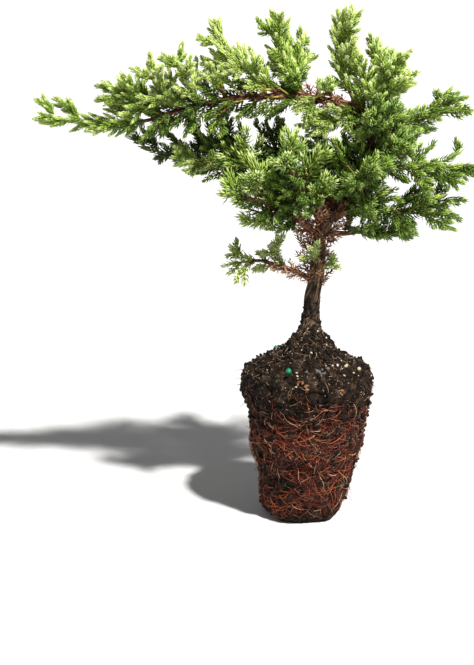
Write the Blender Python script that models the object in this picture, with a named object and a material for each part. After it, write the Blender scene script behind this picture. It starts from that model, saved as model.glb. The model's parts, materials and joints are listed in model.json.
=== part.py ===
"""A young creeping juniper on its bare root ball, as it comes out of a small round nursery cell.

Lengths are in millimetres until a mesh is made, which is in metres. X runs to the right, Y to the
back and Z up. The origin is the middle of the root ball's flat underside. A heading is an angle in
plan, in degrees: 0 is right, 90 back, 180 left and 270 front. A rise is degrees above level.
"""

import math
import random
from collections import namedtuple

import bmesh
import bpy
import numpy as np
from mathutils import Vector, noise

MM = 0.001

# Root ball: the shape of the cell that it grew in, with the soil heaped up to the trunk. Its side
# passes (share of the way out to the rim, share of the rim's height), and the heap passes (share
# of the rim's radius, height above the rim). A bevel is (inwards, up or down)
UNDERSIDE_RADIUS = 14.5
RIM_RADIUS = 25.0
RIM_HEIGHT = 56.0
SOIL_HEIGHT = 69.7
SEAT_RADIUS = 6.6
BALL_SIDE = [(0.3, 0.26), (0.55, 0.5), (0.8, 0.76), (1.0, 0.94)]
HEAP = [(0.78, 3.6), (0.52, 7.0)]
FOOT_BEVEL = (1.8, 2.2)
RIM_BEVEL = (0.9, 1.2)
SEAT_BEVEL = (1.8, 2.6)
BALL_SIDES = 26
BALL_SHARP_FROM = 38
LUMP = 1.3
LUMP_ON_FLATS = 0.35
FINE_LUMP = 0.6
LUMP_SCALE = 0.09
FINE_LUMP_SCALE = 0.23
WORN_CORNER = 2.2
WORN_TO_HEIGHT = 16.0
WORN_TURN = 0.4

# Clearances between neighbours
GAP = 0.4
SEAT_GAP = 0.55
LONGEST_SEAT = 14.0
SEAT_HALVINGS = 22

# Trunk: where its centre passes (right, back, up) and its radius there
TRUNK_COURSE = [
    ((0.8, 0.0, 70.2), 5.0),
    ((0.9, 0.2, 75.0), 3.7),
    ((1.4, 0.6, 84.0), 3.2),
    ((3.1, 0.0, 96.0), 2.8),
    ((4.8, 1.5, 111.5), 2.6),
    ((13.3, 2.0, 120.0), 2.5),
    ((17.5, 1.0, 129.6), 2.35),
    ((20.8, 0.0, 137.0), 2.2),
    ((23.0, -1.0, 149.0), 1.9),
    ((15.5, -1.0, 159.5), 1.4),
]
TRUNK_SIDES = 10
TRUNK_RINGS = 20
FINE_STEPS = 180
BOUGH_SIDES = 7
RING_SPACING = 8.0
SHORTEST_STEP = 0.5
LIMB_SHARP_FROM = 40
RIDGE = 0.06
RIDGE_ALONG = 2.4
RIDGE_ROUND = 2.6
WANDER = 0.7
WANDER_SCALE = 0.12

# Boughs: each leaves the axis of another limb at a share of its length, and bows up by its arch
Bough = namedtuple("Bough", "on along heading rise length arch radii")
BOUGHS = {
    "bough_long_left": Bough("trunk", 0.96, 182, -3, 76, 6.0, (1.5, 0.9)),
    "bough_shaded_left": Bough("trunk", 0.52, 174, 20, 54, 3.0, (1.5, 0.85)),
    "bough_front_left": Bough("trunk", 0.43, 239, 43, 29, 1.0, (1.5, 1.0)),
    "bough_side_left": Bough("trunk", 0.39, 213, 32, 30, 0.8, (1.4, 0.9)),
    "bough_low_left": Bough("trunk", 0.22, 187, 22, 22, 0.8, (1.1, 0.75)),
    "bough_right_low": Bough("trunk", 0.41, 6, -2, 13, -0.3, (1.3, 0.9)),
    "bough_right_middle": Bough("trunk", 0.56, 346, -8, 10, 0.4, (1.4, 1.0)),
    "bough_right_upper": Bough("trunk", 0.72, 350, 0, 9, 0.4, (1.4, 1.0)),
    "bough_right_high": Bough("trunk", 0.84, 8, 16, 8, 0.4, (1.4, 1.0)),
    "bough_front": Bough("trunk", 0.64, 276, 16, 14, 0.5, (1.3, 0.9)),
    "bough_back": Bough("trunk", 0.48, 96, 16, 26, 0.8, (1.4, 0.9)),
    "bough_back_right": Bough("trunk", 0.76, 62, 8, 18, 0.6, (1.4, 0.9)),
}

# Shoots of needles. Reach is from a shoot's axis to its needle tips, forward is along the axis
STEM_RADIUS = 0.75
CORE_RADIUS = 0.85
CORE_TAPER = 0.3
NEEDLES_PER_WHORL = 2
NEEDLE_FORWARD = 4.0
SHORTEST_NEEDLE = 0.2
NEEDLE_CUT = 0.1
LAST_WHORL = 0.7
LEADER_REACH = 3.4
LEADER_SAG = 12
LEADER_STEP = 0.01
WHORL_SPACING = 5.0
FIRST_WHORL = 2.2

# Twigs: they leave a leader just past a whorl, between its needles. A pair is (low, high) on it
TWIG_REACH = 2.7
TWIG_ROOT_RADIUS = 0.4
TWIG_PLACE = 0.3
TWIGS_PER_WHORL = (1, 2)
TWIG_SPREAD = (55, 32)
TWIG_LENGTHS = (7.5, 14.0)
TWIG_SHARE = (0.56, 0.4)
TWIG_VARIES = (0.85, 1.2)
TWIG_PAST_BUD = 1.5
TWIG_TRIES = (1.0, 0.8, 0.62)
SHORTEST_TRY = 5.625
TWIG_NEEDLE_SHARE = 0.3
TWIG_LIFT = 0.1
TWIG_BEND = 0.13
TWIG_RISE_IN_BEND = 0.3
TWIG_STRAIGHT = 0.93
LONG_TWIG = 10.0
LONG_TWIG_WHORLS = (0.22, 0.46, 0.7)
SHORT_TWIG_WHORLS = (0.3, 0.65)

# Room that a twig needs: from other masses, from its own mass and from a limb
FOREIGN_SPACING = 3.0
OWN_SPACING = 2.8
LIMB_SPACING = 1.35
SAMPLE_STEP = 0.8
SAMPLES_IN_LEADER = 3
SAMPLES_AT_BUD = 3
SEED = 7

# Looks of the parts: base colour, roughness
BARK = ((0.20, 0.115, 0.07), 0.9)
SOIL = ((0.055, 0.036, 0.027), 0.95)
YOUNG = ((0.30, 0.44, 0.10), 0.6)
GREEN = ((0.13, 0.30, 0.07), 0.6)
SHADED = ((0.07, 0.17, 0.05), 0.65)

# Masses of foliage: a leader on a limb (along 1 is at its tip), and forks of the leader as
# (share along the leader, length, heading, rise)
Mass = namedtuple("Mass", "on along length heading rise forks look")
MASSES = {
    "foliage_left_tip": Mass("bough_long_left", 1, 42, 181, 5, [(0.3, 17, 196, -10)], YOUNG),
    "foliage_left_wing": Mass("bough_long_left", 0.93, 27, 182, 28, [(0.25, 15, 145, 30)], YOUNG),
    "foliage_crest_far": Mass("bough_long_left", 0.86, 23, 196, 52, [], YOUNG),
    "foliage_crest_outer": Mass("bough_long_left", 0.76, 24, 206, 60, [], YOUNG),
    "foliage_crest_mid": Mass("bough_long_left", 0.64, 19, 130, 58, [(0.15, 17, 238, 56)], YOUNG),
    "foliage_crest_cross": Mass("bough_long_left", 0.36, 39, 194, 38, [(0.1, 16, 250, -8)], YOUNG),
    "foliage_crest_tall": Mass("bough_long_left", 0.27, 32, 171, 64, [(0.12, 22, 65, 71)], GREEN),
    "foliage_crest_inner": Mass("bough_long_left", 0.13, 16, 246, 64, [(0.2, 19, 220, -20)], GREEN),
    "foliage_crest_back": Mass("bough_long_left", 0.3, 24, 105, 28, [], GREEN),
    "foliage_crest_hanging": Mass("bough_long_left", 0.55, 23, 200, -20, [(0.2, 16, 235, -34)], GREEN),
    "foliage_shaded_tip": Mass("bough_shaded_left", 1, 29, 178, 12, [], SHADED),
    "foliage_shaded_back": Mass("bough_shaded_left", 0.9, 20, 140, 42, [], SHADED),
    "foliage_shaded_front": Mass("bough_shaded_left", 0.9, 21, 204, 4, [(0.2, 14, 220, -18)], YOUNG),
    "foliage_shaded_middle": Mass("bough_shaded_left", 0.68, 21, 150, 52, [(0.2, 15, 100, 30)], SHADED),
    "foliage_shaded_rise": Mass("bough_shaded_left", 0.6, 23, 238, 44, [(0.2, 17, 205, 18)], GREEN),
    "foliage_shaded_inner": Mass("bough_shaded_left", 0.35, 25, 150, 62, [], SHADED),
    "foliage_front_tall": Mass(
        "bough_front_left", 1, 20, 225, 70, [(0.12, 18, 60, 78), (0.2, 16, 262, 36)], GREEN
    ),
    "foliage_front_centre": Mass("bough_front_left", 0.82, 19, 335, 68, [], GREEN),
    "foliage_front_lower": Mass("bough_front_left", 0.4, 19, 290, 52, [], GREEN),
    "foliage_side_high": Mass("bough_side_left", 0.92, 21, 196, 70, [(0.15, 17, 242, 40)], GREEN),
    "foliage_side_out": Mass("bough_side_left", 1, 20, 190, 12, [(0.2, 15, 175, 34)], GREEN),
    "foliage_side_low": Mass("bough_side_left", 0.72, 18, 193, -16, [(0.25, 12, 225, -12)], GREEN),
    "foliage_low_tip": Mass(
        "bough_low_left", 1, 15, 186, -8, [(0.1, 14, 160, 30), (0.15, 12, 228, -32)], GREEN
    ),
    "foliage_low_upper": Mass("bough_low_left", 0.6, 17, 205, 60, [(0.25, 13, 285, 52)], GREEN),
    "foliage_low_right": Mass("trunk", 0.26, 12, 332, 34, [], GREEN),
    "foliage_low_front": Mass("trunk", 0.3, 15, 250, 34, [], GREEN),
    "foliage_right_low": Mass("bough_right_low", 1, 24, 8, -4, [(0.2, 18, 338, 8)], GREEN),
    "foliage_right_middle": Mass("bough_right_middle", 1, 31, 358, -1, [(0.25, 23, 12, 20)], GREEN),
    "foliage_right_middle_front": Mass("trunk", 0.53, 21, 322, 24, [(0.3, 14, 285, 10)], GREEN),
    "foliage_right_upper": Mass("bough_right_upper", 1, 33, 355, 4, [(0.3, 23, 15, 24)], GREEN),
    "foliage_right_upper_front": Mass("trunk", 0.74, 24, 320, 20, [(0.25, 17, 284, 36)], GREEN),
    "foliage_right_high": Mass("bough_right_high", 1, 31, 11, 38, [(0.2, 25, 348, 18)], GREEN),
    "foliage_top_spire": Mass("trunk", 1, 33, 170, 84, [], GREEN),
    "foliage_top_right": Mass("trunk", 0.955, 25, 40, 68, [], GREEN),
    "foliage_right_plume": Mass("trunk", 0.9, 29, 322, 68, [(0.2, 20, 350, 50)], GREEN),
    "foliage_top_front": Mass("trunk", 0.93, 26, 206, -2, [(0.35, 15, 186, -26)], GREEN),
    "foliage_top_low_front": Mass("trunk", 0.84, 22, 264, 34, [(0.35, 17, 312, 20)], GREEN),
    "foliage_centre_front": Mass("trunk", 0.72, 25, 214, 18, [(0.3, 16, 238, 44)], GREEN),
    "foliage_centre_low": Mass("trunk", 0.56, 19, 250, 48, [], SHADED),
    "foliage_centre_back": Mass("trunk", 0.68, 25, 152, 34, [(0.3, 16, 182, 30)], SHADED),
    "foliage_front": Mass("bough_front", 1, 19, 268, 32, [(0.2, 15, 318, 30)], GREEN),
    "foliage_back": Mass("bough_back", 1, 24, 92, 26, [(0.15, 18, 140, 50)], GREEN),
    "foliage_back_left": Mass("bough_back", 0.7, 25, 154, 12, [(0.25, 17, 120, -12)], GREEN),
    "foliage_back_right": Mass("bough_back", 0.65, 24, 38, 8, [(0.2, 16, 70, -14)], GREEN),
    "foliage_back_upper": Mass("bough_back_right", 1, 23, 60, 32, [(0.2, 18, 15, 16)], GREEN),
    "foliage_back_upper_left": Mass("bough_back_right", 0.7, 20, 116, 44, [], GREEN),
}

UP = Vector((0, 0, 1))


def towards(heading, rise):
    """The unit direction with that heading and rise."""
    h = math.radians(heading)
    r = math.radians(rise)
    return Vector((math.cos(h) * math.cos(r), math.sin(h) * math.cos(r), math.sin(r)))


def between(a, b, t):
    return a + (b - a) * t


def turned_frames(points, side=None):
    """A tangent and two cross directions at each point of a line, turning as little as they can."""
    tangents = []
    for i in range(len(points)):
        ahead = points[min(i + 1, len(points) - 1)]
        behind = points[max(i - 1, 0)]
        tangents.append((ahead - behind).normalized())
    side = side or tangents[0].orthogonal()
    frames = []
    for tangent in tangents:
        side = (side - tangent * side.dot(tangent)).normalized()
        frames.append((tangent, side, tangent.cross(side)))
    return frames


def samples(points):
    """Places along a line, close together."""
    found = []
    for a, b in zip(points, points[1:]):
        steps = max(1, round((b - a).length / SAMPLE_STEP))
        found += [between(a, b, i / steps) for i in range(steps)]
    return np.array([*found, points[-1]])


def nearest(places, point):
    return float(np.linalg.norm(places - np.array(point), axis=1).min())


class Limb:
    """A line of evenly spaced points with a radius at each, read by its share from 0 to 1."""

    def __init__(self, points, radii, parent=None):
        self.points = points
        self.radii = radii
        self.parent = parent
        self.places = np.array(points)
        self.thickness = np.array(radii)

    def at(self, share):
        place = share * (len(self.points) - 1)
        i = min(int(place), len(self.points) - 2)
        return between(self.points[i], self.points[i + 1], place - i)

    def end_aim(self):
        return (self.points[-1] - self.points[-2]).normalized()

    def clearance(self, point):
        """How far a point is outside this limb's surface."""
        start = self.places[:-1]
        run = self.places[1:] - start
        share = ((np.array(point) - start) * run).sum(1) / (run * run).sum(1)
        share = np.clip(share, 0, 1)
        foot = start + run * share[:, None]
        radius = self.thickness[:-1] + (self.thickness[1:] - self.thickness[:-1]) * share
        return float((np.linalg.norm(np.array(point) - foot, axis=1) - radius).min())


def trunk_line():
    """The trunk through its course as a Catmull-Rom curve, with evenly spaced points."""
    places = [Vector(place) for place, _ in TRUNK_COURSE]
    radii = [radius for _, radius in TRUNK_COURSE]
    places = [places[0] * 2 - places[1], *places, places[-1] * 2 - places[-2]]
    fine, thick = [], []
    for step in range(FINE_STEPS + 1):
        whole = step / FINE_STEPS * (len(radii) - 1)
        i = min(int(whole), len(radii) - 2)
        t = whole - i
        a, b, c, d = places[i : i + 4]
        cubic = (c - a) * t + (a * 2 - b * 5 + c * 4 - d) * t**2 + (b * 3 - a - c * 3 + d) * t**3
        fine.append(b + cubic / 2)
        thick.append(between(radii[i], radii[i + 1], t))
    walked = [0.0]
    for a, b in zip(fine, fine[1:]):
        walked.append(walked[-1] + (b - a).length)
    points, even_radii = [], []
    for k in range(TRUNK_RINGS):
        place = np.interp(walked[-1] * k / (TRUNK_RINGS - 1), walked, range(len(fine)))
        i = min(int(place), len(fine) - 2)
        points.append(between(fine[i], fine[i + 1], place - i))
        even_radii.append(between(thick[i], thick[i + 1], place - i))
    return Limb(points, even_radii)


def bough_line(bough, parent):
    """A tapering limb from its parent's axis, bowed up by its arch and wandering a little."""
    start = parent.at(bough.along)
    aim = towards(bough.heading, bough.rise)
    bow = (UP - aim * aim.dot(UP)).normalized() * bough.arch
    count = max(3, round(bough.length / RING_SPACING)) + 1
    points, radii = [], []
    for i in range(count):
        t = i / (count - 1)
        straight = start + aim * (bough.length * t)
        wander = noise.noise_vector(start + aim * (bough.length * t * WANDER_SCALE))
        wander *= WANDER * math.sin(math.pi * t)
        points.append(straight + bow * (4 * t * (1 - t)) + wander)
        radii.append(between(*bough.radii, t))
    return Limb(points, radii, parent)


class Shoot:
    """A brush of needles: the middle of its root and of each whorl, and its bud."""

    def __init__(self, centres, bud, reach, forward, side=None):
        self.centres = centres
        self.bud = bud
        self.reach = reach
        self.forward = forward
        self.frames = turned_frames([*centres, bud], side)
        self.samples = samples([*centres, bud])

    def outwards(self, whorl):
        """The directions of a whorl's points: needles where the index and whorl sum to even."""
        _, side, cross = self.frames[whorl]
        count = 2 * NEEDLES_PER_WHORL
        turns = [2 * math.pi * i / count for i in range(count)]
        return [side * math.cos(turn) + cross * math.sin(turn) for turn in turns]

    def valleys(self, whorl):
        """The directions that run between a whorl's needles."""
        return [out for i, out in enumerate(self.outwards(whorl)) if (i + whorl) % 2]


def leader_line(base, first_aim, length, heading, rise, limb=None):
    """A leader that leaves the base along first_aim and bends to its own heading and rise.

    A base inside a limb, on its axis, has its first whorl where the leader is clear of the limb.
    """
    end = base + towards(heading, rise) * length
    knee = base + (first_aim + towards(heading, rise - LEADER_SAG)).normalized() * length * 0.5

    def curve(t):
        return base * (1 - t) ** 2 + knee * (2 * t * (1 - t)) + end * t**2

    start = 0.0
    while limb and limb.clearance(curve(start)) < FIRST_WHORL:
        start += LEADER_STEP
    finish = 1 - NEEDLE_FORWARD / length
    count = max(2, round((finish - start) * length / WHORL_SPACING))
    step = (finish - start) / count
    whorls = [curve(start + step * i) for i in range(0 if limb else 1, count + 1)]
    return Shoot([base, *whorls], end, LEADER_REACH, NEEDLE_FORWARD)


class Plant:
    """The limbs, and the shoots of each mass, as lines: no mesh is made here."""

    def __init__(self):
        noise.seed_set(SEED)
        self.random = random.Random(SEED)
        self.limbs = {"trunk": trunk_line()}
        for name, bough in BOUGHS.items():
            self.limbs[name] = bough_line(bough, self.limbs[bough.on])
        self.shoots = {name: self.leaders_of(mass) for name, mass in MASSES.items()}
        self.grow_twigs()

    def leaders_of(self, mass):
        limb = self.limbs[mass.on]
        if mass.along == 1:
            base = limb.at(1) + limb.end_aim() * GAP
            leader = leader_line(base, limb.end_aim(), mass.length, mass.heading, mass.rise)
        else:
            aim = towards(mass.heading, mass.rise)
            leader = leader_line(limb.at(mass.along), aim, mass.length, mass.heading, mass.rise, limb)
        line = [*leader.centres, leader.bud]
        found = [leader]
        for along, length, heading, rise in mass.forks:
            place = along * (len(line) - 1)
            i = int(place)
            root = between(line[i], line[i + 1], place - i)
            aim = (line[i + 1] - line[i]).normalized()
            found.append(leader_line(root, aim, length, heading, rise))
        return found

    def foreign(self, name):
        """Places along the shoots of all the other masses."""
        return np.concatenate([s.samples for n, found in self.shoots.items() if n != name for s in found])

    def kin(self, name, shoot=None):
        """Places along the shoots of the same mass, without the one given."""
        kin = [s.samples for s in self.shoots[name] if s is not shoot]
        return np.concatenate(kin or [self.foreign(name)])

    def clear_of_limbs(self, point):
        return min(limb.clearance(point) for limb in self.limbs.values())

    def has_room(self, name, twig, foreign):
        """True if a twig's axis stays in its mass's own space and off the limbs."""
        outer = twig.samples[SAMPLES_IN_LEADER:]
        if min(nearest(foreign, place) for place in outer) < FOREIGN_SPACING:
            return False
        own = self.kin(name)
        if min(nearest(own, place) for place in outer[-SAMPLES_AT_BUD:]) < OWN_SPACING:
            return False
        return min(self.clear_of_limbs(place) for place in outer[::2]) > LIMB_SPACING

    def grow_twigs(self):
        """Twigs whorl by whorl in every mass in turn, so that none takes its neighbour's space first."""
        waiting = {
            name: [(leader, k) for leader in leaders for k in range(1, len(leader.centres) - 1)]
            for name, leaders in self.shoots.items()
        }
        while any(waiting.values()):
            for name in self.shoots:
                if waiting[name]:
                    self.grow_whorl(name, *waiting[name].pop(0))

    def grow_whorl(self, name, leader, whorl):
        """One twig at an even whorl and up to two at an odd one."""
        ways = leader.valleys(whorl)
        self.random.shuffle(ways)
        foreign = self.foreign(name)
        grown = 0
        for outward in ways:
            twig = self.twig(name, leader, whorl, outward, foreign)
            if twig:
                self.shoots[name].append(twig)
                grown += 1
            if grown == TWIGS_PER_WHORL[whorl % 2]:
                return

    def twig(self, name, leader, whorl, outward, foreign):
        """A twig as long as there is room for, or None."""
        tangent = leader.frames[whorl][0]
        root = between(leader.centres[whorl], leader.centres[whorl + 1], TWIG_PLACE)
        share = whorl / len(leader.centres)
        spread = math.radians(between(*TWIG_SPREAD, share))
        aim = (tangent * math.cos(spread) + outward * math.sin(spread) + UP * TWIG_LIFT).normalized()
        length = (leader.bud - leader.centres[0]).length
        size = length * between(*TWIG_SHARE, share) * self.random.uniform(*TWIG_VARIES)
        shortest, longest = TWIG_LENGTHS
        size = min(max(size, shortest), longest, (leader.bud - root).length + TWIG_PAST_BUD)
        for part in TWIG_TRIES:
            reach = size * part
            if reach < SHORTEST_TRY:
                return None
            bend = (tangent + UP * TWIG_RISE_IN_BEND) * (TWIG_BEND * reach)
            bud = root + aim * (reach * TWIG_STRAIGHT) + bend
            whorls = LONG_TWIG_WHORLS if reach > LONG_TWIG else SHORT_TWIG_WHORLS
            centres = [root] + [root + aim * (reach * t) + bend * t**3 for t in whorls]
            forward = min(NEEDLE_FORWARD, reach * TWIG_NEEDLE_SHARE)
            side = tangent - aim * aim.dot(tangent)
            twig = Shoot(centres, bud, TWIG_REACH, forward, side)
            if self.has_room(name, twig, foreign):
                return twig
        return None


def material(name, look):
    colour, roughness = look
    made = bpy.data.materials.new(name)
    made.use_nodes = True
    shader = made.node_tree.nodes["Principled BSDF"]
    shader.inputs["Base Color"].default_value = (*colour, 1)
    shader.inputs["Roughness"].default_value = roughness
    shader.inputs["Metallic"].default_value = 0
    return made


def mesh_object(name, points, faces, look, collection=None):
    """A mesh object in metres from points in millimetres."""
    mesh = bpy.data.meshes.new(name)
    mesh.from_pydata([Vector(p) * MM for p in points], [], faces)
    mesh.update()
    mesh.materials.append(material(name, look))
    made = bpy.data.objects.new(name, mesh)
    (collection or bpy.context.scene.collection).objects.link(made)
    return made


def smooth(made, sharp_from):
    made.data.shade_smooth()
    made.data.set_sharp_from_angle(angle=math.radians(sharp_from))


def skin(rings, hub=None):
    """Faces between rings of equal count, with a cap at both ends. A hub is the first cap's middle."""
    count = len(rings[0])
    points = [p for ring in rings for p in ring]
    faces = []
    for k in range(len(rings) - 1):
        low, high = k * count, (k + 1) * count
        for i in range(count):
            j = (i + 1) % count
            faces.append((low + i, low + j, high + j, high + i))
    last = (len(rings) - 1) * count
    faces.append(tuple(last + i for i in range(count)))
    if hub is None:
        faces.append(tuple(range(count))[::-1])
    else:
        points.append(hub)
        faces += [((i + 1) % count, i, len(points) - 1) for i in range(count)]
    return points, faces


def ring_round(centre, side, cross, radii):
    count = len(radii)
    turns = [2 * math.pi * i / count for i in range(count)]
    return [centre + (side * math.cos(a) + cross * math.sin(a)) * r for a, r in zip(turns, radii)]


def seated(ring, aim, limb):
    """The ring's points slid along aim until each is clear of the limb's surface."""
    placed = []
    for point in ring:
        low, high = 0.0, LONGEST_SEAT
        for _ in range(SEAT_HALVINGS):
            middle = (low + high) / 2
            if limb.clearance(point + aim * middle) < SEAT_GAP:
                low = middle
            else:
                high = middle
        placed.append(point + aim * high)
    return placed


def ball_outline():
    """The radius and height of each ring of the root ball, from its underside to the trunk's seat."""
    side = [(between(UNDERSIDE_RADIUS, RIM_RADIUS, out), RIM_HEIGHT * up) for out, up in BALL_SIDE]
    heap = [(RIM_RADIUS * out, RIM_HEIGHT + up) for out, up in HEAP]
    return [
        (UNDERSIDE_RADIUS, 0.0),
        (UNDERSIDE_RADIUS + FOOT_BEVEL[0], FOOT_BEVEL[1]),
        *side,
        (RIM_RADIUS - RIM_BEVEL[0], RIM_HEIGHT + RIM_BEVEL[1]),
        *heap,
        (SEAT_RADIUS + SEAT_BEVEL[0], SOIL_HEIGHT - SEAT_BEVEL[1]),
        (SEAT_RADIUS, SOIL_HEIGHT),
    ]


def make_root_ball():
    """The outline turned round, with lumps, on a flat underside and with a flat seat on top."""
    rings = []
    for radius, height in ball_outline():
        ring = []
        flat = height in (0.0, SOIL_HEIGHT)
        for i in range(BALL_SIDES):
            angle = 2 * math.pi * i / BALL_SIDES
            around = Vector((math.cos(angle), math.sin(angle), 0))
            place = around * radius + UP * height
            lump = LUMP * noise.noise(place * LUMP_SCALE)
            lump += LUMP * FINE_LUMP * noise.noise(place * FINE_LUMP_SCALE)
            low_on_right = max(0.0, math.cos(angle + WORN_TURN)) * max(0.0, 1 - height / WORN_TO_HEIGHT)
            out = lump * (LUMP_ON_FLATS if flat else 1.0) - WORN_CORNER * low_on_right
            up = 0.0 if flat or height < RIM_HEIGHT else lump * FINE_LUMP
            ring.append(around * (radius + out) + UP * (height + up))
        rings.append(ring)
    smooth(mesh_object("root_ball", *skin(rings), SOIL), BALL_SHARP_FROM)


def make_limb(name, limb):
    """A tapering, slightly knobbly tube. A bough's root is cut to its parent's surface."""
    points = limb.points
    frames = turned_frames(points)
    if not limb.parent:
        frames[0] = (UP, Vector((1, 0, 0)), Vector((0, 1, 0)))
    sides = BOUGH_SIDES if limb.parent else TRUNK_SIDES
    rings = []
    for k, (_, side, cross) in enumerate(frames):
        ridge = 0.0 if k in (0, len(points) - 1) else RIDGE
        waves = [math.sin(RIDGE_ALONG * k + RIDGE_ROUND * i) for i in range(sides)]
        radii = [limb.radii[k] * (1 + ridge * wave) for wave in waves]
        rings.append(ring_round(points[k], side, cross, radii))
    hub = None
    if limb.parent:
        aim = (points[1] - points[0]).normalized()
        rings[0] = seated(rings[0], aim, limb.parent)
        hub = seated([points[0]], aim, limb.parent)[0]
        clear = max((p - points[0]).dot(aim) for p in rings[0]) + SHORTEST_STEP
        later = [ring for ring, p in zip(rings, points) if (p - points[0]).dot(aim) > clear]
        rings = [rings[0], *later]
    smooth(mesh_object(name, *skin(rings, hub), BARK), LIMB_SHARP_FROM)


def brush(shoot, root, hub, inside):
    """A slim core with whorls of needles standing out of it, each turned against the last.

    Each ring of points alternates between the tip of a needle and the valley beside it, so every
    needle is a four-sided spike that leans towards the bud. A needle that would leave its own space
    is shortened until it fits. The faces are split so that the folds run from valley to valley.
    """
    count = 2 * NEEDLES_PER_WHORL
    rings = [root]
    whorls = len(shoot.centres) - 1
    for k in range(1, whorls + 1):
        tangent = shoot.frames[k][0]
        ring = []
        for i, out in enumerate(shoot.outwards(k)):
            core = shoot.centres[k] + out * (CORE_RADIUS * (1 - CORE_TAPER * k / whorls))
            if (i + k) % 2:
                ring.append(core)
                continue
            needle = out * (shoot.reach - CORE_RADIUS) + tangent * shoot.forward
            size = LAST_WHORL if k == whorls else 1.0
            while size > SHORTEST_NEEDLE and not inside(core + needle * size):
                size -= NEEDLE_CUT
            ring.append(core + needle * size)
        rings.append(ring)
    points = [p for ring in rings for p in ring] + [hub, shoot.bud]
    faces = [((i + 1) % count, i, len(points) - 2) for i in range(count)]
    for k in range(whorls):
        low, high = k * count, (k + 1) * count
        for i in range(count):
            j = (i + 1) % count
            if (i + k + 1) % 2:
                faces += [(low + i, low + j, high + j), (low + i, high + j, high + i)]
            else:
                faces += [(low + i, low + j, high + i), (low + j, high + j, high + i)]
    last = whorls * count
    faces += [(last + i, last + (i + 1) % count, len(points) - 1) for i in range(count)]
    return points, faces


def root_of(shoot, mass, limb):
    """A shoot's root ring and its middle: sunk in its leader if the limb is None, or on the limb."""
    base = shoot.centres[0]
    tangent, side, cross = shoot.frames[0]
    count = 2 * NEEDLES_PER_WHORL
    if limb is None:
        return ring_round(base, side, cross, [TWIG_ROOT_RADIUS] * count), base
    if mass.along == 1:
        aim = limb.end_aim()
        side = (side - aim * side.dot(aim)).normalized()
        return ring_round(base, side, aim.cross(side), [STEM_RADIUS] * count), base
    ring = ring_round(base, side, cross, [STEM_RADIUS] * count)
    return seated(ring, tangent, limb), seated([base], tangent, limb)[0]


def make_mass(plant, name):
    """One mass: its leaders and twigs as needle brushes, joined by one Boolean union."""
    mass = MASSES[name]
    foreign = plant.foreign(name)
    twigs = bpy.data.collections.new(name + "_twigs")
    whole = None
    for shoot in plant.shoots[name]:
        kin = plant.kin(name, shoot)

        def inside(point):
            own = nearest(shoot.samples, point)
            if own > nearest(foreign, point) - GAP or own > nearest(kin, point):
                return False
            return plant.clear_of_limbs(point) > GAP

        root, hub = root_of(shoot, mass, None if whole else plant.limbs[mass.on])
        points, faces = brush(shoot, root, hub, inside)
        made = mesh_object(name, points, faces, mass.look, twigs if whole else None)
        whole = whole or made
    if twigs.objects:
        join(whole, twigs)
    bpy.data.collections.remove(twigs)


def join(whole, others):
    """Fuses the collection's objects into the whole with one union, then removes them."""
    union = whole.modifiers.new("join", "BOOLEAN")
    union.operation = "UNION"
    union.operand_type = "COLLECTION"
    union.collection = others
    union.solver = "MANIFOLD"
    graph = bpy.context.evaluated_depsgraph_get()
    fused = bpy.data.meshes.new_from_object(whole.evaluated_get(graph))
    whole.modifiers.clear()
    whole.data = fused
    for other in list(others.objects):
        bpy.data.objects.remove(other)
    keep_outer_shell(fused)


def keep_outer_shell(mesh):
    """Drops loose scraps, and fills sealed hollows by dropping their walls."""
    shape = bmesh.new()
    shape.from_mesh(mesh)
    waiting = set(shape.verts)
    shells = []
    while waiting:
        shell = [waiting.pop()]
        for vertex in shell:
            linked = {edge.other_vert(vertex) for edge in vertex.link_edges} & waiting
            waiting -= linked
            shell.extend(linked)
        shells.append(shell)
    shells.sort(key=len)
    for shell in shells[:-1]:
        bmesh.ops.delete(shape, geom=shell, context="VERTS")
    shape.to_mesh(mesh)
    shape.free()


def main():
    for old in list(bpy.data.objects):
        bpy.data.objects.remove(old)
    plant = Plant()
    make_root_ball()
    for name, limb in plant.limbs.items():
        make_limb(name, limb)
    for name in MASSES:
        make_mass(plant, name)


main()
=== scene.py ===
"""The looks of a young creeping juniper on its bare root ball.

Lengths are in millimetres until a mesh is made, which is in metres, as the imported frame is. X runs
to the right, Y to the back and Z up. A heading is an angle in plan, in degrees: 0 is right, 90 back,
180 left and 270 front. A rise is degrees above level. The limbs, leaders and twigs grow by the rule
of the part's source and with its values, and here they are carried on to branchlets and needles.
"""

import json
import math
import random
from collections import defaultdict, namedtuple
from itertools import combinations

import bpy
import numpy as np
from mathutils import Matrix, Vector, noise

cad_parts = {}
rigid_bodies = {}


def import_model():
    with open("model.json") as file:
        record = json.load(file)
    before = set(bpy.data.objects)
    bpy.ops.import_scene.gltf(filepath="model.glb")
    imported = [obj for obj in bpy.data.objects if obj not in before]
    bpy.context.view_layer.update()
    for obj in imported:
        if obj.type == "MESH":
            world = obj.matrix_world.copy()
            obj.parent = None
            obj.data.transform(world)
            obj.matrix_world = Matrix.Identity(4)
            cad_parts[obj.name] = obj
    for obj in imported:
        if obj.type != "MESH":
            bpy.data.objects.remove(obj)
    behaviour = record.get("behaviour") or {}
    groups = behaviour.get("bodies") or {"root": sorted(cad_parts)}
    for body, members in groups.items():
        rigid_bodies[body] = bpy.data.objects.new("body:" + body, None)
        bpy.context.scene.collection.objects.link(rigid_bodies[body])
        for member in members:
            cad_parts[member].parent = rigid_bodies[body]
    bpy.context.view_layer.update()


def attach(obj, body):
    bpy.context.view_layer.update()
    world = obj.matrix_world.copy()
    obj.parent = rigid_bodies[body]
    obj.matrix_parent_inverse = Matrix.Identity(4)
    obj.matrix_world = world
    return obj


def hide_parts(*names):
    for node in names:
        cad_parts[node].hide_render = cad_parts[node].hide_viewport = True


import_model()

MM = 0.001
UP = Vector((0, 0, 1))

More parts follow.
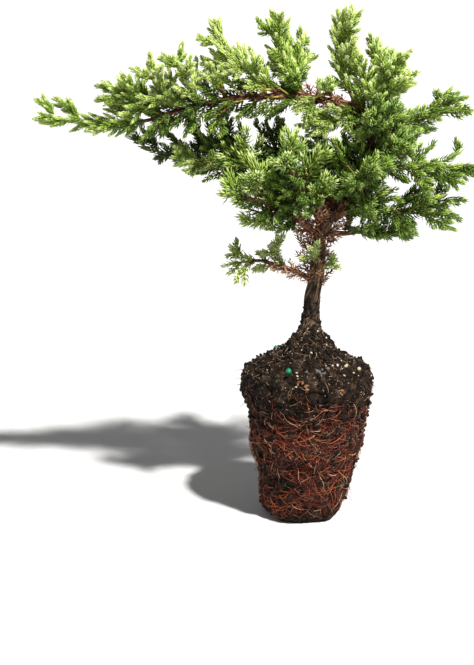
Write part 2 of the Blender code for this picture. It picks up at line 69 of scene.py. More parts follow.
# Root ball. Its side passes (share of the way out to the rim, share of the rim's height), and the
# heap passes (share of the rim's radius, height above the rim). A bevel is (inwards, up or down)
UNDERSIDE_RADIUS = 14.5
RIM_RADIUS = 25.0
RIM_HEIGHT = 56.0
SOIL_HEIGHT = 69.7
SEAT_RADIUS = 6.6
BALL_SIDE = [(0.3, 0.26), (0.55, 0.5), (0.8, 0.76), (1.0, 0.94)]
HEAP = [(0.78, 3.6), (0.52, 7.0)]
FOOT_BEVEL = (1.8, 2.2)
RIM_BEVEL = (0.9, 1.2)
SEAT_BEVEL = (1.8, 2.6)
LUMP = 1.3
FINE_LUMP = 0.6
LUMP_SCALE = 0.09
FINE_LUMP_SCALE = 0.23
WORN_CORNER = 2.2
WORN_TO_HEIGHT = 16.0
WORN_TURN = 0.4

# Trunk: where its centre passes (right, back, up) and its radius there
TRUNK_COURSE = [
    ((0.8, 0.0, 70.2), 5.0),
    ((0.9, 0.2, 75.0), 3.7),
    ((1.4, 0.6, 84.0), 3.2),
    ((3.1, 0.0, 96.0), 2.8),
    ((4.8, 1.5, 111.5), 2.6),
    ((13.3, 2.0, 120.0), 2.5),
    ((17.5, 1.0, 129.6), 2.35),
    ((20.8, 0.0, 137.0), 2.2),
    ((23.0, -1.0, 149.0), 1.9),
    ((15.5, -1.0, 159.5), 1.4),
]
TRUNK_RINGS = 20
FINE_STEPS = 180
RING_SPACING = 8.0
WANDER = 0.7
WANDER_SCALE = 0.12

# Boughs: each leaves the axis of another limb at a share of its length, and bows up by its arch
Bough = namedtuple("Bough", "on along heading rise length arch radii")
BOUGHS = {
    "bough_long_left": Bough("trunk", 0.96, 182, -3, 76, 6.0, (1.5, 0.9)),
    "bough_shaded_left": Bough("trunk", 0.52, 174, 20, 54, 3.0, (1.5, 0.85)),
    "bough_front_left": Bough("trunk", 0.43, 239, 43, 29, 1.0, (1.5, 1.0)),
    "bough_side_left": Bough("trunk", 0.39, 213, 32, 30, 0.8, (1.4, 0.9)),
    "bough_low_left": Bough("trunk", 0.22, 187, 22, 22, 0.8, (1.1, 0.75)),
    "bough_right_low": Bough("trunk", 0.41, 6, -2, 13, -0.3, (1.3, 0.9)),
    "bough_right_middle": Bough("trunk", 0.56, 346, -8, 10, 0.4, (1.4, 1.0)),
    "bough_right_upper": Bough("trunk", 0.72, 350, 0, 9, 0.4, (1.4, 1.0)),
    "bough_right_high": Bough("trunk", 0.84, 8, 16, 8, 0.4, (1.4, 1.0)),
    "bough_front": Bough("trunk", 0.64, 276, 16, 14, 0.5, (1.3, 0.9)),
    "bough_back": Bough("trunk", 0.48, 96, 16, 26, 0.8, (1.4, 0.9)),
    "bough_back_right": Bough("trunk", 0.76, 62, 8, 18, 0.6, (1.4, 0.9)),
}

# Leaders and twigs of the source. A pair is (low, high) on a leader
GAP = 0.4
NEEDLES_PER_WHORL = 2
NEEDLE_FORWARD = 4.0
LEADER_SAG = 12
LEADER_STEP = 0.01
WHORL_SPACING = 5.0
FIRST_WHORL = 2.2
TWIG_PLACE = 0.3
TWIGS_PER_WHORL = (1, 2)
TWIG_SPREAD = (55, 32)
TWIG_LENGTHS = (7.5, 14.0)
TWIG_SHARE = (0.56, 0.4)
TWIG_VARIES = (0.85, 1.2)
TWIG_PAST_BUD = 1.5
TWIG_TRIES = (1.0, 0.8, 0.62)
SHORTEST_TRY = 5.625
TWIG_LIFT = 0.1
TWIG_BEND = 0.13
TWIG_RISE_IN_BEND = 0.3
TWIG_STRAIGHT = 0.93
LONG_TWIG = 10.0
LONG_TWIG_WHORLS = (0.22, 0.46, 0.7)
SHORT_TWIG_WHORLS = (0.3, 0.65)
FOREIGN_SPACING = 3.0
OWN_SPACING = 2.8
LIMB_SPACING = 1.35
SAMPLE_STEP = 0.8
SAMPLES_IN_LEADER = 3
SAMPLES_AT_BUD = 3
SEED = 7

# How a mass grows: its freshness, from 0 for old needles in shade to 1 at a young tip, whose low
# values are partly painted shade that darkens needles lying in the crown's shade, how its needles
# spread, reach, are spaced and are wide beside the order's own, and the room that its branchlets need
Growth = namedtuple("Growth", "tone spread length spacing room width")
YOUNG = Growth(0.94, 0.72, 0.86, 0.84, 1.02, 0.97)
WING = Growth(0.84, 0.72, 0.88, 0.84, 1.0, 0.97)
CREST = Growth(0.85, 0.8, 0.94, 0.88, 1.0, 0.94)
GREEN = Growth(0.5, 0.95, 1.08, 1.0, 1.12, 0.96)
SPIKY = Growth(0.69, 1.18, 1.32, 1.24, 1.7, 0.98)
# The low sparse sprays take a tone near the freshest so that they look sunlit under the crown's shade:
# painted light
SPARSE = Growth(0.94, 1.1, 0.84, 1.1, 1.8, 0.86)
# The shaded masses take the lowest freshness and so near-black needles: painted shade
SHADED = Growth(0.2, 1.0, 1.0, 1.0, 1.1, 1.0)

# Masses of foliage: a leader on a limb (along 1 is at its tip), and forks of the leader as
# (share along the leader, length, heading, rise)
Mass = namedtuple("Mass", "on along length heading rise forks look")
MASSES = {
    "foliage_left_tip": Mass("bough_long_left", 1, 42, 181, 5, [(0.3, 17, 196, -10)], WING),
    "foliage_left_wing": Mass("bough_long_left", 0.93, 27, 182, 28, [(0.25, 15, 145, 30)], WING),
    "foliage_crest_far": Mass("bough_long_left", 0.86, 23, 196, 52, [], YOUNG),
    "foliage_crest_outer": Mass("bough_long_left", 0.76, 24, 206, 60, [], YOUNG),
    "foliage_crest_mid": Mass("bough_long_left", 0.64, 19, 130, 58, [(0.15, 17, 238, 56)], YOUNG),
    "foliage_crest_cross": Mass("bough_long_left", 0.36, 39, 194, 38, [(0.1, 16, 250, -8)], YOUNG),
    "foliage_crest_tall": Mass("bough_long_left", 0.27, 32, 171, 64, [(0.12, 22, 65, 71)], CREST),
    "foliage_crest_inner": Mass("bough_long_left", 0.13, 16, 246, 64, [(0.2, 19, 220, -20)], CREST),
    "foliage_crest_back": Mass("bough_long_left", 0.3, 24, 105, 28, [], GREEN),
    "foliage_crest_hanging": Mass("bough_long_left", 0.55, 23, 200, -20, [(0.2, 16, 235, -34)], GREEN),
    "foliage_shaded_tip": Mass("bough_shaded_left", 1, 29, 178, 12, [], SHADED),
    "foliage_shaded_back": Mass("bough_shaded_left", 0.9, 20, 140, 42, [], SHADED),
    "foliage_shaded_front": Mass("bough_shaded_left", 0.9, 21, 204, 4, [(0.2, 14, 220, -18)], YOUNG),
    "foliage_shaded_middle": Mass("bough_shaded_left", 0.68, 21, 150, 52, [(0.2, 15, 100, 30)], SHADED),
    "foliage_shaded_rise": Mass("bough_shaded_left", 0.6, 23, 238, 44, [(0.2, 17, 205, 18)], SPIKY),
    "foliage_shaded_inner": Mass("bough_shaded_left", 0.35, 25, 150, 62, [], SHADED),
    "foliage_front_tall": Mass(
        "bough_front_left", 1, 20, 225, 70, [(0.12, 18, 60, 78), (0.2, 16, 262, 36)], SPIKY
    ),
    "foliage_front_centre": Mass("bough_front_left", 0.82, 19, 335, 68, [], SPIKY),
    "foliage_front_lower": Mass("bough_front_left", 0.4, 19, 290, 52, [], SPIKY),
    "foliage_side_high": Mass("bough_side_left", 0.92, 21, 196, 70, [(0.15, 17, 242, 40)], SPIKY),
    "foliage_side_out": Mass("bough_side_left", 1, 20, 190, 12, [(0.2, 15, 175, 34)], SPIKY),
    "foliage_side_low": Mass("bough_side_left", 0.72, 18, 193, -16, [(0.25, 12, 225, -12)], SPIKY),
    "foliage_low_tip": Mass(
        "bough_low_left", 1, 15, 186, -8, [(0.1, 14, 160, 30), (0.15, 12, 228, -32)], SPARSE
    ),
    "foliage_low_upper": Mass("bough_low_left", 0.6, 17, 205, 60, [(0.25, 13, 285, 52)], SPARSE),
    "foliage_low_right": Mass("trunk", 0.26, 12, 332, 34, [], SPARSE),
    "foliage_low_front": Mass("trunk", 0.3, 15, 250, 34, [], SPARSE),
    "foliage_right_low": Mass("bough_right_low", 1, 24, 8, -4, [(0.2, 18, 338, 8)], GREEN),
    "foliage_right_middle": Mass("bough_right_middle", 1, 31, 358, -1, [(0.25, 23, 12, 20)], GREEN),
    "foliage_right_middle_front": Mass("trunk", 0.53, 21, 322, 24, [(0.3, 14, 285, 10)], GREEN),
    "foliage_right_upper": Mass("bough_right_upper", 1, 33, 355, 4, [(0.3, 23, 15, 24)], GREEN),
    "foliage_right_upper_front": Mass("trunk", 0.74, 24, 320, 20, [(0.25, 17, 284, 36)], GREEN),
    "foliage_right_high": Mass("bough_right_high", 1, 31, 11, 38, [(0.2, 25, 348, 18)], GREEN),
    "foliage_top_spire": Mass("trunk", 1, 33, 170, 84, [], CREST),
    "foliage_top_right": Mass("trunk", 0.955, 25, 40, 68, [], CREST),
    "foliage_right_plume": Mass("trunk", 0.9, 29, 322, 68, [(0.2, 20, 350, 50)], CREST),
    "foliage_top_front": Mass("trunk", 0.93, 26, 206, -2, [(0.35, 15, 186, -26)], CREST),
    "foliage_top_low_front": Mass("trunk", 0.84, 22, 264, 34, [(0.35, 17, 312, 20)], GREEN),
    "foliage_centre_front": Mass("trunk", 0.72, 25, 214, 18, [(0.3, 16, 238, 44)], SPIKY),
    "foliage_centre_low": Mass("trunk", 0.56, 19, 250, 48, [], SHADED),
    "foliage_centre_back": Mass("trunk", 0.68, 25, 152, 34, [(0.3, 16, 182, 30)], SHADED),
    "foliage_front": Mass("bough_front", 1, 19, 268, 32, [(0.2, 15, 318, 30)], GREEN),
    "foliage_back": Mass("bough_back", 1, 24, 92, 26, [(0.15, 18, 140, 50)], GREEN),
    "foliage_back_left": Mass("bough_back", 0.7, 25, 154, 12, [(0.25, 17, 120, -12)], GREEN),
    "foliage_back_right": Mass("bough_back", 0.65, 24, 38, 8, [(0.2, 16, 70, -14)], GREEN),
    "foliage_back_upper": Mass("bough_back_right", 1, 23, 60, 32, [(0.2, 18, 15, 16)], GREEN),
    "foliage_back_upper_left": Mass("bough_back_right", 0.7, 20, 116, 44, [], GREEN),
}

# Orders of shoot: how its needles stand. Whorls are closer and needles shorter and more upright
# towards the bud. A pair is (at the root, at the bud). Bare is the foot without needles, and the
# last value is what the needles at the root lack in freshness: partly their real age and partly
# painted shade, darker needles deep inside the shoots where shade falls
Order = namedtuple("Order", "spacing length spread width bare stem sides older")
ORDERS = {
    "leader": Order(1.1, 4.0, (54, 14), 1.05, 2.0, (0.7, 0.25), 6, 0.34),
    "twig": Order(0.95, 3.6, (50, 13), 0.95, 0.8, (0.36, 0.2), 5, 0.26),
    "branchlet": Order(0.82, 3.0, (44, 12), 0.8, 0.4, (0.22, 0.14), 3, 0.16),
    "dead": Order(1.15, 3.0, (54, 32), 0.68, 0.6, (0.34, 0.16), 4, 0.0),
}

# How much shorter the shoots are than the source's, whose solids stand for their needles too, by
# mass. A twig takes the twigs' own value where that is less. The last table is added for the shoots
# that point down, and a value below zero leaves them longer
END_TRIM = 2.3
TRIMS = {
    "foliage_right_upper": 7.0,
    "foliage_right_high": 4.4,
    "foliage_right_middle": 4.2,
    "foliage_right_middle_front": 0.0,
    "foliage_right_low": 4.2,
    "foliage_right_plume": 3.0,
    "foliage_shaded_tip": 6.0,
    "foliage_low_tip": 3.4,
    "foliage_low_upper": 6.5,
    "foliage_left_wing": 2.4,
    "foliage_crest_far": 2.8,
    "foliage_crest_outer": 4.0,
    "foliage_crest_mid": 4.0,
    "foliage_crest_cross": 5.5,
    "foliage_crest_tall": 2.2,
    "foliage_top_right": 1.0,
    "foliage_side_out": 4.0,
    "foliage_shaded_inner": 0.0,
    "foliage_shaded_middle": 0.0,
}
TRIMS_BELOW = {
    "foliage_left_tip": 1.0,
    "foliage_low_tip": -2.4,
    "foliage_shaded_front": 3.5,
    "foliage_shaded_rise": 2.5,
    "foliage_side_low": 2.5,
    "foliage_side_out": 2.0,
    "foliage_right_low": 3.0,
    "foliage_right_middle_front": 2.5,
    "foliage_back_right": 3.0,
}
POINTS_DOWN = 1.0
TWIG_TRIM = 3.2
TWIG_TRIMS = {"foliage_right_middle": 0.6, "foliage_right_upper": 1.8}
SHORTEST_SHARE = 0.45

# Needles: how they change from a shoot's root to its bud, their shape as shares of their length or
# width, and how much they vary
WHORL_NEEDLES = 3
CLOSER_AT_BUD = 0.42
SPREAD_FALLS = 1.6
SHORT_AT_ROOT = 0.78
SHORT_AT_BUD = 0.66
LONGEST_AT = 0.35
NEEDLE_WIDEST = 0.38
NEEDLE_KEEL = 0.75
NEEDLE_BOW = 0.09
SPREAD_JITTER = 7
TURN_JITTER = 9
LENGTH_JITTER = 0.14
WIDTH_JITTER = 0.1
FRESH_JITTER = 0.05

# Branchlets: tried along each shoot at a spacing, from and to shares of it, each at an angle and
# as long as a share of it
BRANCHLET_SPACING = {"leader": 0.75, "twig": 0.8, "dead": 2.0}
BRANCHLET_SPACING_VARIES = (0.8, 1.2)
BRANCHLET_FROM = {"leader": 0.08, "twig": 0.16, "dead": 0.3}
BRANCHLET_TO = 0.94
BRANCHLET_SPREAD = (42, 25)
BRANCHLET_SPREAD_VARIES = (-6, 6)
BRANCHLET_LENGTHS = (2.8, 6.2)
BRANCHLET_SHARE = {"leader": (0.26, 0.22), "twig": (0.46, 0.38), "dead": (0.6, 0.5)}
BRANCHLET_VARIES = (0.85, 1.2)
BRANCHLET_PAST_BUD = 1.8
BRANCHLET_TRIES = (1.0, 0.75, 0.55)
BRANCHLET_POINTS = (0, 0.33, 0.66, 0.94)
BRANCHLET_FOOT = 1.7
BRANCHLET_BEND = 0.16
CROWD_CELL = 2.0
GOLDEN_TURN = math.radians(137.5)

# Sprays straight on a limb: (from, to, live beyond) as shares of it, spacings and lengths
SPRAYS_ON_TRUNK = (0.19, 0.97, 0.5)
SPRAYS_ON_BOUGH = (0.06, 0.97, 0.38)
LIVE_FROM = {"bough_long_left": 0.3, "bough_low_left": 0.72}
LIVE_VARIES = (-0.12, 0.12)
SPRAY_SPACING = 0.9
SPRAY_SPACING_VARIES = (0.7, 1.3)
SPRAY_SPREAD = (38, 70)
SPRAY_ROOT = 0.6
SPRAY_BEND = 0.12
SPRAY_POINTS = (0, 0.33, 0.66, 1)
LIVE_SPRAYS = {"trunk": (6.0, 12.0), "bough": (6.0, 12.0), "bough_low_left": (3.5, 6.5)}
DEAD_SPRAYS = {
    "trunk": (3.0, 9.0),
    "bough": (2.0, 6.5),
    "bough_long_left": (1.4, 3.6),
    "bough_low_left": (1.4, 4.2),
}
DEAD_ROOM = 1.1
# Sprays straight on the limbs, inside the crown, are less fresh and so darker than the green masses:
# painted shade
LIMB_GREEN = Growth(0.42, 1.0, 0.95, 1.0, 1.2, 1.0)

# Where the photograph shows sky in and round the crown: from and to across, and from and to up, as
# seen from the front. A twig is cut back to a needle's reach from it, or left out if little is left.
# A leader is cut back to it, but by no more than a leader's end. No live spray on a limb ends there,
# and no branchlet does, except on a leader
SKY = [
    (-0.5, 9.8, 172, 190), (5.7, 10.2, 160, 172), (-20.5, -15.5, 167.5, 174),
    (-15.2, -10.5, 161, 164.5), (-28.5, -24.3, 173.5, 185), (-6.4, -3.9, 175, 192),
    (26.3, 29.5, 172, 182), (46, 53, 158, 172), (46, 55.5, 130.5, 134.5), (55.5, 66, 132.5, 141),
    (-86, -81.5, 153.5, 158), (-99, -72, 138, 145), (-72, -67, 139, 145), (-67, -58, 128, 137.5),
    (-55.8, -47.5, 124, 133), (-48, -40, 122, 127), (-43, -32, 112, 123.5),
    (-26, -14.5, 101, 106.5), (-16.2, -13.2, 92.5, 96.5), (12.8, 17, 109.8, 113),
    (9.4, 24, 94, 105), (-28, -17.5, 151.5, 154.5), (24, 52, 92, 104), (-52, -49, 147.5, 151.5),
    (-40, -38, 144, 151.5), (-73.5, -66.5, 162, 171), (-66, -56.6, 171.5, 176),
    (-54, -46, 176, 186), (-43.5, -40, 177, 194), (-40, -33, 184.5, 194), (-13.5, -8.5, 185.5, 194),
    (34.7, 37.8, 144.5, 150), (39.5, 44, 154, 162), (58, 70, 144, 154), (55, 62, 138, 144),
    (60.5, 75, 100, 190), (-110, -99.5, 130, 170),
]
TWIG_FROM_SKY = 0.35
NEEDLE_REACH = 1.2
LEADER_END = 7.0

# Where the photograph shows the long bough bare, as shares of it, and how far off the needles stay
BARE = [(0.05, 0.19), (0.37, 0.47), (0.53, 0.64)]
BARE_STEPS = 20
BARE_ROOM = 2.3
AXIS_STEP = 0.5
FINE_PER_POINT = 8

# Needle colours as (below this freshness, back of the needle, its paler inner face, slot)
Tint = namedtuple("Tint", "below back face slot")
TINTS = {
    # The darkest tint is painted shade: the near-black green of needles in shade
    "painted_shade": Tint(0.24, (0.028, 0.056, 0.005), (0.048, 0.09, 0.013), "foliage_shaded"),
    "green": Tint(0.5, (0.068, 0.134, 0.011), (0.124, 0.215, 0.036), "foliage_green"),
    "bright": Tint(0.74, (0.152, 0.255, 0.025), (0.255, 0.38, 0.087), "foliage_green"),
    "fresh": Tint(0.94, (0.3, 0.415, 0.07), (0.42, 0.54, 0.19), "foliage_young"),
    "tip": Tint(math.inf, (0.49, 0.6, 0.18), (0.6, 0.69, 0.35), "foliage_young"),
}
DEAD_TINTS = {
    "dead": Tint(0.48, (0.18, 0.065, 0.03), (0.32, 0.14, 0.072), "bark"),
    "dry": Tint(math.inf, (0.42, 0.2, 0.105), (0.57, 0.34, 0.2), "bark"),
}
STAND_FOR = {"painted_shade": [SHADED], "green": [GREEN, SPIKY, CREST, SPARSE], "fresh": [YOUNG, WING]}
TONE_VARIES = (-0.13, 0.13)
BRANCHLET_TONE = (-0.08, 0.1)
TIP_TONE = 0.34
TIP_FROM = 0.6
NEEDLES_PER_PIECE = 32000

# Stems: drawn through every second or third point of their axis, and woody up to a share of a
# leader that falls with its freshness
STEM_EVERY = {"leader": 2, "twig": 2, "branchlet": 3, "dead": 2}
WOODY = 0.86
WOODY_FALLS = 0.6
WOODY_SHARES = (0.15, 0.6)
WOODY_THICKER = 1.05
WOODY_COLOUR = (0.13, 0.055, 0.025)
YOUNG_COLOUR = (0.33, 0.3, 0.05)

# Bark: long strips, a finer grain and lumps. A height is a share of the radius, and a relief is a
# share of the value that the colour follows. A bough swells towards its parent
BARK_STEP = 0.5
BARK_SIDES = {"trunk": 40, "bough": 24}
STRIP_HEIGHT = 0.13
GRAIN_HEIGHT = 0.045
LUMP_HEIGHT = 0.12
STRIP_RELIEF = 0.5
GRAIN_RELIEF = 0.5
LUMP_RELIEF = 0.3
STRIP_LENGTH = 9.0
STRIP_WIDTH = 0.8
STRIP_EDGE = 2.6
GRAIN_FINER = 2.7
GRAIN_SHORTER = 3.2
LUMP_COARSER = 0.5
LUMP_LENGTH = 4.0
SEED_STEP = 7.3
COLLAR = 0.3
COLLAR_FROM = 2.2
COLLAR_LENGTH = 1.8
BOUGH_SHARE = 0.85
TRUNK_SHARE = 0.9
FOOT_SHARE = 0.82
FOOT_ENDS = (80, 94)
SUNK_FOOT = 4.0
SOILED = 0.4
SOILED_TO = 97.0
SOILED_FADE = 16.0

# Colours by relief, as stops of (place, colour), and the noise that is mixed in: waves a metre and
# detail. The relief is spread so that all but its ends lie between 0 and the share
RELIEF_SHARE = 0.72
RELIEF_ENDS = (4, 96)
NOISE_SHARE = 0.5
# The trunk's bark runs from near-black down in its grooves to pale on its ridges: partly the bark's own
# colour, partly painted shade in the grooves
TRUNK_STOPS = [
    (0.25, (0.006, 0.004, 0.0025)),
    (0.52, (0.04, 0.023, 0.014)),
    (0.78, (0.13, 0.08, 0.049)),
    (1.0, (0.36, 0.255, 0.165)),
]
TRUNK_NOISE = (700, 5)
# The boughs' bark likewise: partly its own colour, partly painted shade in the grooves
BOUGH_STOPS = [
    (0.25, (0.012, 0.005, 0.003)),
    (0.55, (0.06, 0.02, 0.01)),
    (0.8, (0.15, 0.055, 0.027)),
    (1.0, (0.32, 0.17, 0.095)),
]
BOUGH_NOISE = (800, 5)
SOIL_STOPS = [
    (0.2, (0.0012, 0.0007, 0.0004)),
    (0.55, (0.009, 0.0055, 0.0035)),
    (0.8, (0.02, 0.0125, 0.0085)),
    (1.0, (0.05, 0.033, 0.023)),
]
SOIL_NOISE = (1100, 6)

# Surface of the root ball: the soil that climbs the trunk as (radius, height), clods and crumbs, and
# how much of their height goes (outwards, upwards) on the side and on the heap. Big clods start
# outside a share of the trunk's seat
BALL_COLUMNS = 250
BALL_STEP = 0.52
SOIL_ON_TRUNK = [(4.9, 71.6), (3.4, 74.2), (2.6, 77.5), (2.3, 81.0), (2.0, 86.0)]
CLOD_SCALE = 0.6
CLOD_LEVEL = 0.55
CLOD_HEIGHT = 0.8
BIG_CLOD_SCALE = 0.2
BIG_CLOD_LEVEL = 0.5
BIG_CLOD = 1.3
BIG_CLODS_FROM = 0.5
CRUMB_SCALE = 1.9
CRUMB_HEIGHT = 0.4
FINE_CRUMB_SCALE = 4.1
FINE_CRUMB = 0.6
ROUGH_SIDE = (0.9, 0.25)
ROUGH_HEAP = (0.35, 0.8)
FLAT_BELOW = 0.01
CLOD_RELIEF = 0.5
CRUMB_RELIEF = 0.35

# Grains strewn on the root ball. Rise is the share of its size that a grain stands out of the
# surface, and lowest the height that its kind starts from
Grain = namedtuple("Grain", "count small large rise colour roughness lowest")
GRAINS = {
    "soil_crumbs": Grain(2000, 0.25, 0.95, 0.3, (0.009, 0.006, 0.004), 0.95, 3),
    "soil_crumbs_brown": Grain(1200, 0.14, 0.46, 0.5, (0.05, 0.027, 0.016), 0.95, 3),
    "soil_grit": Grain(1200, 0.09, 0.26, 0.7, (0.3, 0.23, 0.16), 0.8, 14),
    "soil_perlite": Grain(60, 0.2, 0.5, 0.6, (0.52, 0.48, 0.4), 0.85, 54),
}
GRAIN_SHEEN = 0.15
GRAIN_ROUGH = 0.3
GRAIN_LENGTHS = (0.9, 1.3)
GRAIN_LONGER = 1.15
GRAIN_DEPTHS = (0.6, 0.9)
GRAINS_GATHER = 0.75
GRAIN_REACH = 1.3
FOOT_CRUMBS = 520
FOOT_CRUMB_SIZES = (0.14, 0.42)
FOOT_CRUMBS_TO = 18
FOOT_CRUMBS_GATHER = 1.7

# Single pieces on the soil as the photograph shows them: how far across and up they are seen from
# the front, their radius and kind. Lumps and clods are clusters. A bead behind is (turn, least
# distance from the middle, radius)
PLACED = [
    (5.3, 69.1, 0.75, "pebble"), (8.7, 68.3, 0.7, "pebble"), (11.3, 67.2, 0.8, "pebble"),
    (18.9, 55.5, 0.9, "pebble"), (13.6, 56.2, 1.0, "pebble"), (12.8, 52.8, 0.5, "pebble"),
    (17.0, 54.0, 0.55, "pebble"), (-4.5, 54.0, 0.45, "pebble"), (29.0, 57.0, 0.5, "pebble"),
    (-7.5, 54.3, 1.15, "bead"), (4.5, 54.0, 2.3, "lump"), (-3.6, 50.8, 1.7, "clod"),
    (-1.5, 48.9, 1.3, "clod"), (12.0, 47.5, 1.4, "clod"),
]
BEADS_BEHIND = [(0.9, 14.5, 1.05), (2.4, 15.5, 1.0)]
PLACED_LOOKS = {
    "pebble": ((0.42, 0.36, 0.22), 0.85),
    "lump": ((0.1, 0.095, 0.09), 0.85),
    "clod": ((0.2, 0.1, 0.04), 0.85),
    "bead": ((0.005, 0.17, 0.07), 0.35),
}
PEBBLE_RISE = 0.3
PEBBLE_ROUGH = 0.16
BEAD_RISE = 0.6
BEAD_RINGS = 7
BEAD_SIDES = 12
CLUSTER = 16
CLUSTER_SPREAD = 0.5
CLUSTER_FLATTER = 0.7
CLUSTER_SIZES = (0.15, 0.45)
FACES_VIEWER = 0.1
TURNED_AWAY = 1e6

# Roots on the root ball, more of them in patches and fewer towards the rim. The short ones are
# fibres, which run and curl any way
Root = namedtuple("Root", "count thin thick short long low high colour")
ROOTS = {
    "roots_dark": Root(330, 0.07, 0.12, 6, 20, 5, 55, (0.05, 0.012, 0.007)),
    "roots_red": Root(860, 0.055, 0.105, 5, 22, 5, 55, (0.17, 0.027, 0.014)),
    "roots_orange": Root(270, 0.055, 0.10, 5, 22, 6, 54, (0.42, 0.11, 0.04)),
    "roots_pale": Root(54, 0.06, 0.12, 5, 22, 8, 54, (0.6, 0.35, 0.2)),
    "soil_fibres": Root(520, 0.05, 0.085, 1.4, 6.0, 14, 80, (0.3, 0.2, 0.11)),
    "soil_fibres_pale": Root(220, 0.045, 0.075, 1.0, 4.0, 30, 80, (0.5, 0.41, 0.3)),
}
ROOT_ROUGHNESS = 0.7
ROOT_STEP = 1.1
ROOT_SIDES = 3
ROOT_TIP = 0.5
ROOT_PATCH = 0.07
ROOTS_WANTED = 0.5
PATCH_WANTED = 3.0
ROOTS_THIN_FROM = 35
ROOTS_THIN_OVER = 22
ROOT_HEADINGS = (0.1, 1.7)
ROOT_CURL = 0.07
FIBRE_CURL = 0.22
FIBRES_UNDER = 10
ROOT_WOBBLE = 0.15
LEAST_TURNING = 5.0
LOWEST_ROOT = 2.5
ROOT_LIFT = (-0.1, 0.55)
ROOT_WEAVE = 0.55
ROOT_WAVE = 0.6
ROOT_DEEPEST = -0.3
ROOT_END_DEPTH = -0.5
ROOT_ABOVE_GROUND = 0.3

# Loose root ends: half of them round the rim, the others on the side
HAIRS = 56
HAIR_LENGTHS = (1.3, 3.6)
HAIR_RADIUS = 0.16
HAIR_TIP = 0.4
HAIR_POINTS = 6
HAIR_START = -0.2
HAIRS_BELOW_RIM = 1
HAIRS_ROUND_RIM = 3
HAIRS_FROM = 5
HAIR_AIM_VARIES = 0.45
HAIR_DROOP_VARIES = 0.3
HAIR_DROOP = 0.25
HAIR_COLOUR = (0.03, 0.014, 0.01)
HAIR_ROUGHNESS = 0.8
HAIR_ABOVE_GROUND = 0.4

# Finishes: the sheen, the roughness's waves a metre and range, and the grain's waves a metre,
# detail, depth in metres and strength. The plain one's range is added to a middle roughness
Finish = namedtuple("Finish", "sheen waves low high grain detail depth strength")
WAXY = Finish(0.28, 420, 0.42, 0.68, 5200, 2, 0.00004, 0.4)
WOODY_STEM = Finish(0.3, 700, 0.6, 0.9, 3000, 4, 0.0001, 0.6)
YOUNG_STEM = Finish(0.35, 700, 0.42, 0.7, 3600, 4, 0.00006, 0.6)
BARK = Finish(0.25, 900, 0.72, 0.95, 2600, 4, 0.00012, 0.7)
SOIL = Finish(0.1, 1500, 0.8, 1.0, 3800, 5, 0.0002, 0.9)
PLAIN = Finish(0.3, 800, -0.15, 0.1, 2500, 4, 0.0001, 0.6)

# Stage in metres and degrees: a level floor, a gentle rise and a sweep up to a wall all round
LEVEL_RADIUS = 2.5
RISE_ANGLE = 9.0
RISE_STEPS = 6
RISE_LENGTH = 4.5
SWEEP_STEP = 0.26
SWEEP_TURN = 7.5
SWEEP_SIDES = 64
PAPER_COLOUR = (0.58, 0.585, 0.595)
PAPER_ROUGHNESS = 0.9
PAPER_SHEEN = 0.1

# Camera and light, in metres and degrees. The key comes from a (heading, rise)
CAMERA_AIM = (-0.0268, 0.0, 0.0716)
CAMERA_DISTANCE = 0.6
CAMERA_RISE = 15
CAMERA_LENS = 86
KEY_FROM = (306, 55)
KEY_ENERGY = 7.2
KEY_COLOUR = (1.0, 0.975, 0.93)
KEY_ANGLE = 4
WORLD_COLOUR = (1, 1, 1)
WORLD_STRENGTH = 0.22


def towards(heading, rise):
    """The unit direction with that heading and rise."""
    h = math.radians(heading)
    r = math.radians(rise)
    return Vector((math.cos(h) * math.cos(r), math.sin(h) * math.cos(r), math.sin(r)))


def between(a, b, t):
    return a + (b - a) * t


def turned_frames(points, side=None):
    """A tangent and two cross directions at each point of a line, turning as little as they can."""
    tangents = []
    for i in range(len(points)):
        ahead = points[min(i + 1, len(points) - 1)]
        behind = points[max(i - 1, 0)]
        tangents.append((ahead - behind).normalized())
    side = side or tangents[0].orthogonal()
    frames = []
    for tangent in tangents:
        side = (side - tangent * side.dot(tangent)).normalized()
        frames.append((tangent, side, tangent.cross(side)))
    return frames


def samples(points):
    """Places along a line, close together."""
    found = []
    for a, b in zip(points, points[1:]):
        steps = max(1, round((b - a).length / SAMPLE_STEP))
        found += [between(a, b, i / steps) for i in range(steps)]
    return np.array([*found, points[-1]])


def nearest(places, point):
    return float(np.linalg.norm(places - np.array(point), axis=1).min())


class Limb:
    """A line of evenly spaced points with a radius at each, read by its share from 0 to 1."""

    def __init__(self, points, radii, parent=None):
        self.points = points
        self.radii = radii
        self.parent = parent
        self.places = np.array(points)
        self.thickness = np.array(radii)

    def at(self, share):
        place = share * (len(self.points) - 1)
        i = min(int(place), len(self.points) - 2)
        return between(self.points[i], self.points[i + 1], place - i)

    def end_aim(self):
        return (self.points[-1] - self.points[-2]).normalized()

    def clearance(self, point):
        """How far a point is outside this limb's surface."""
        start = self.places[:-1]
        run = self.places[1:] - start
        share = ((np.array(point) - start) * run).sum(1) / (run * run).sum(1)
        share = np.clip(share, 0, 1)
        foot = start + run * share[:, None]
        radius = self.thickness[:-1] + (self.thickness[1:] - self.thickness[:-1]) * share
        return float((np.linalg.norm(np.array(point) - foot, axis=1) - radius).min())


def spline(points, place):
    """The Catmull-Rom curve through the points, at a place counted in points."""
    i = min(int(place), len(points) - 2)
    t = place - i
    b, c = points[i], points[i + 1]
    a = points[i - 1] if i else b * 2 - c
    d = points[i + 2] if i + 2 < len(points) else c * 2 - b
    cubic = (c - a) * t + (a * 2 - b * 5 + c * 4 - d) * t**2 + (b * 3 - a - c * 3 + d) * t**3
    return b + cubic / 2


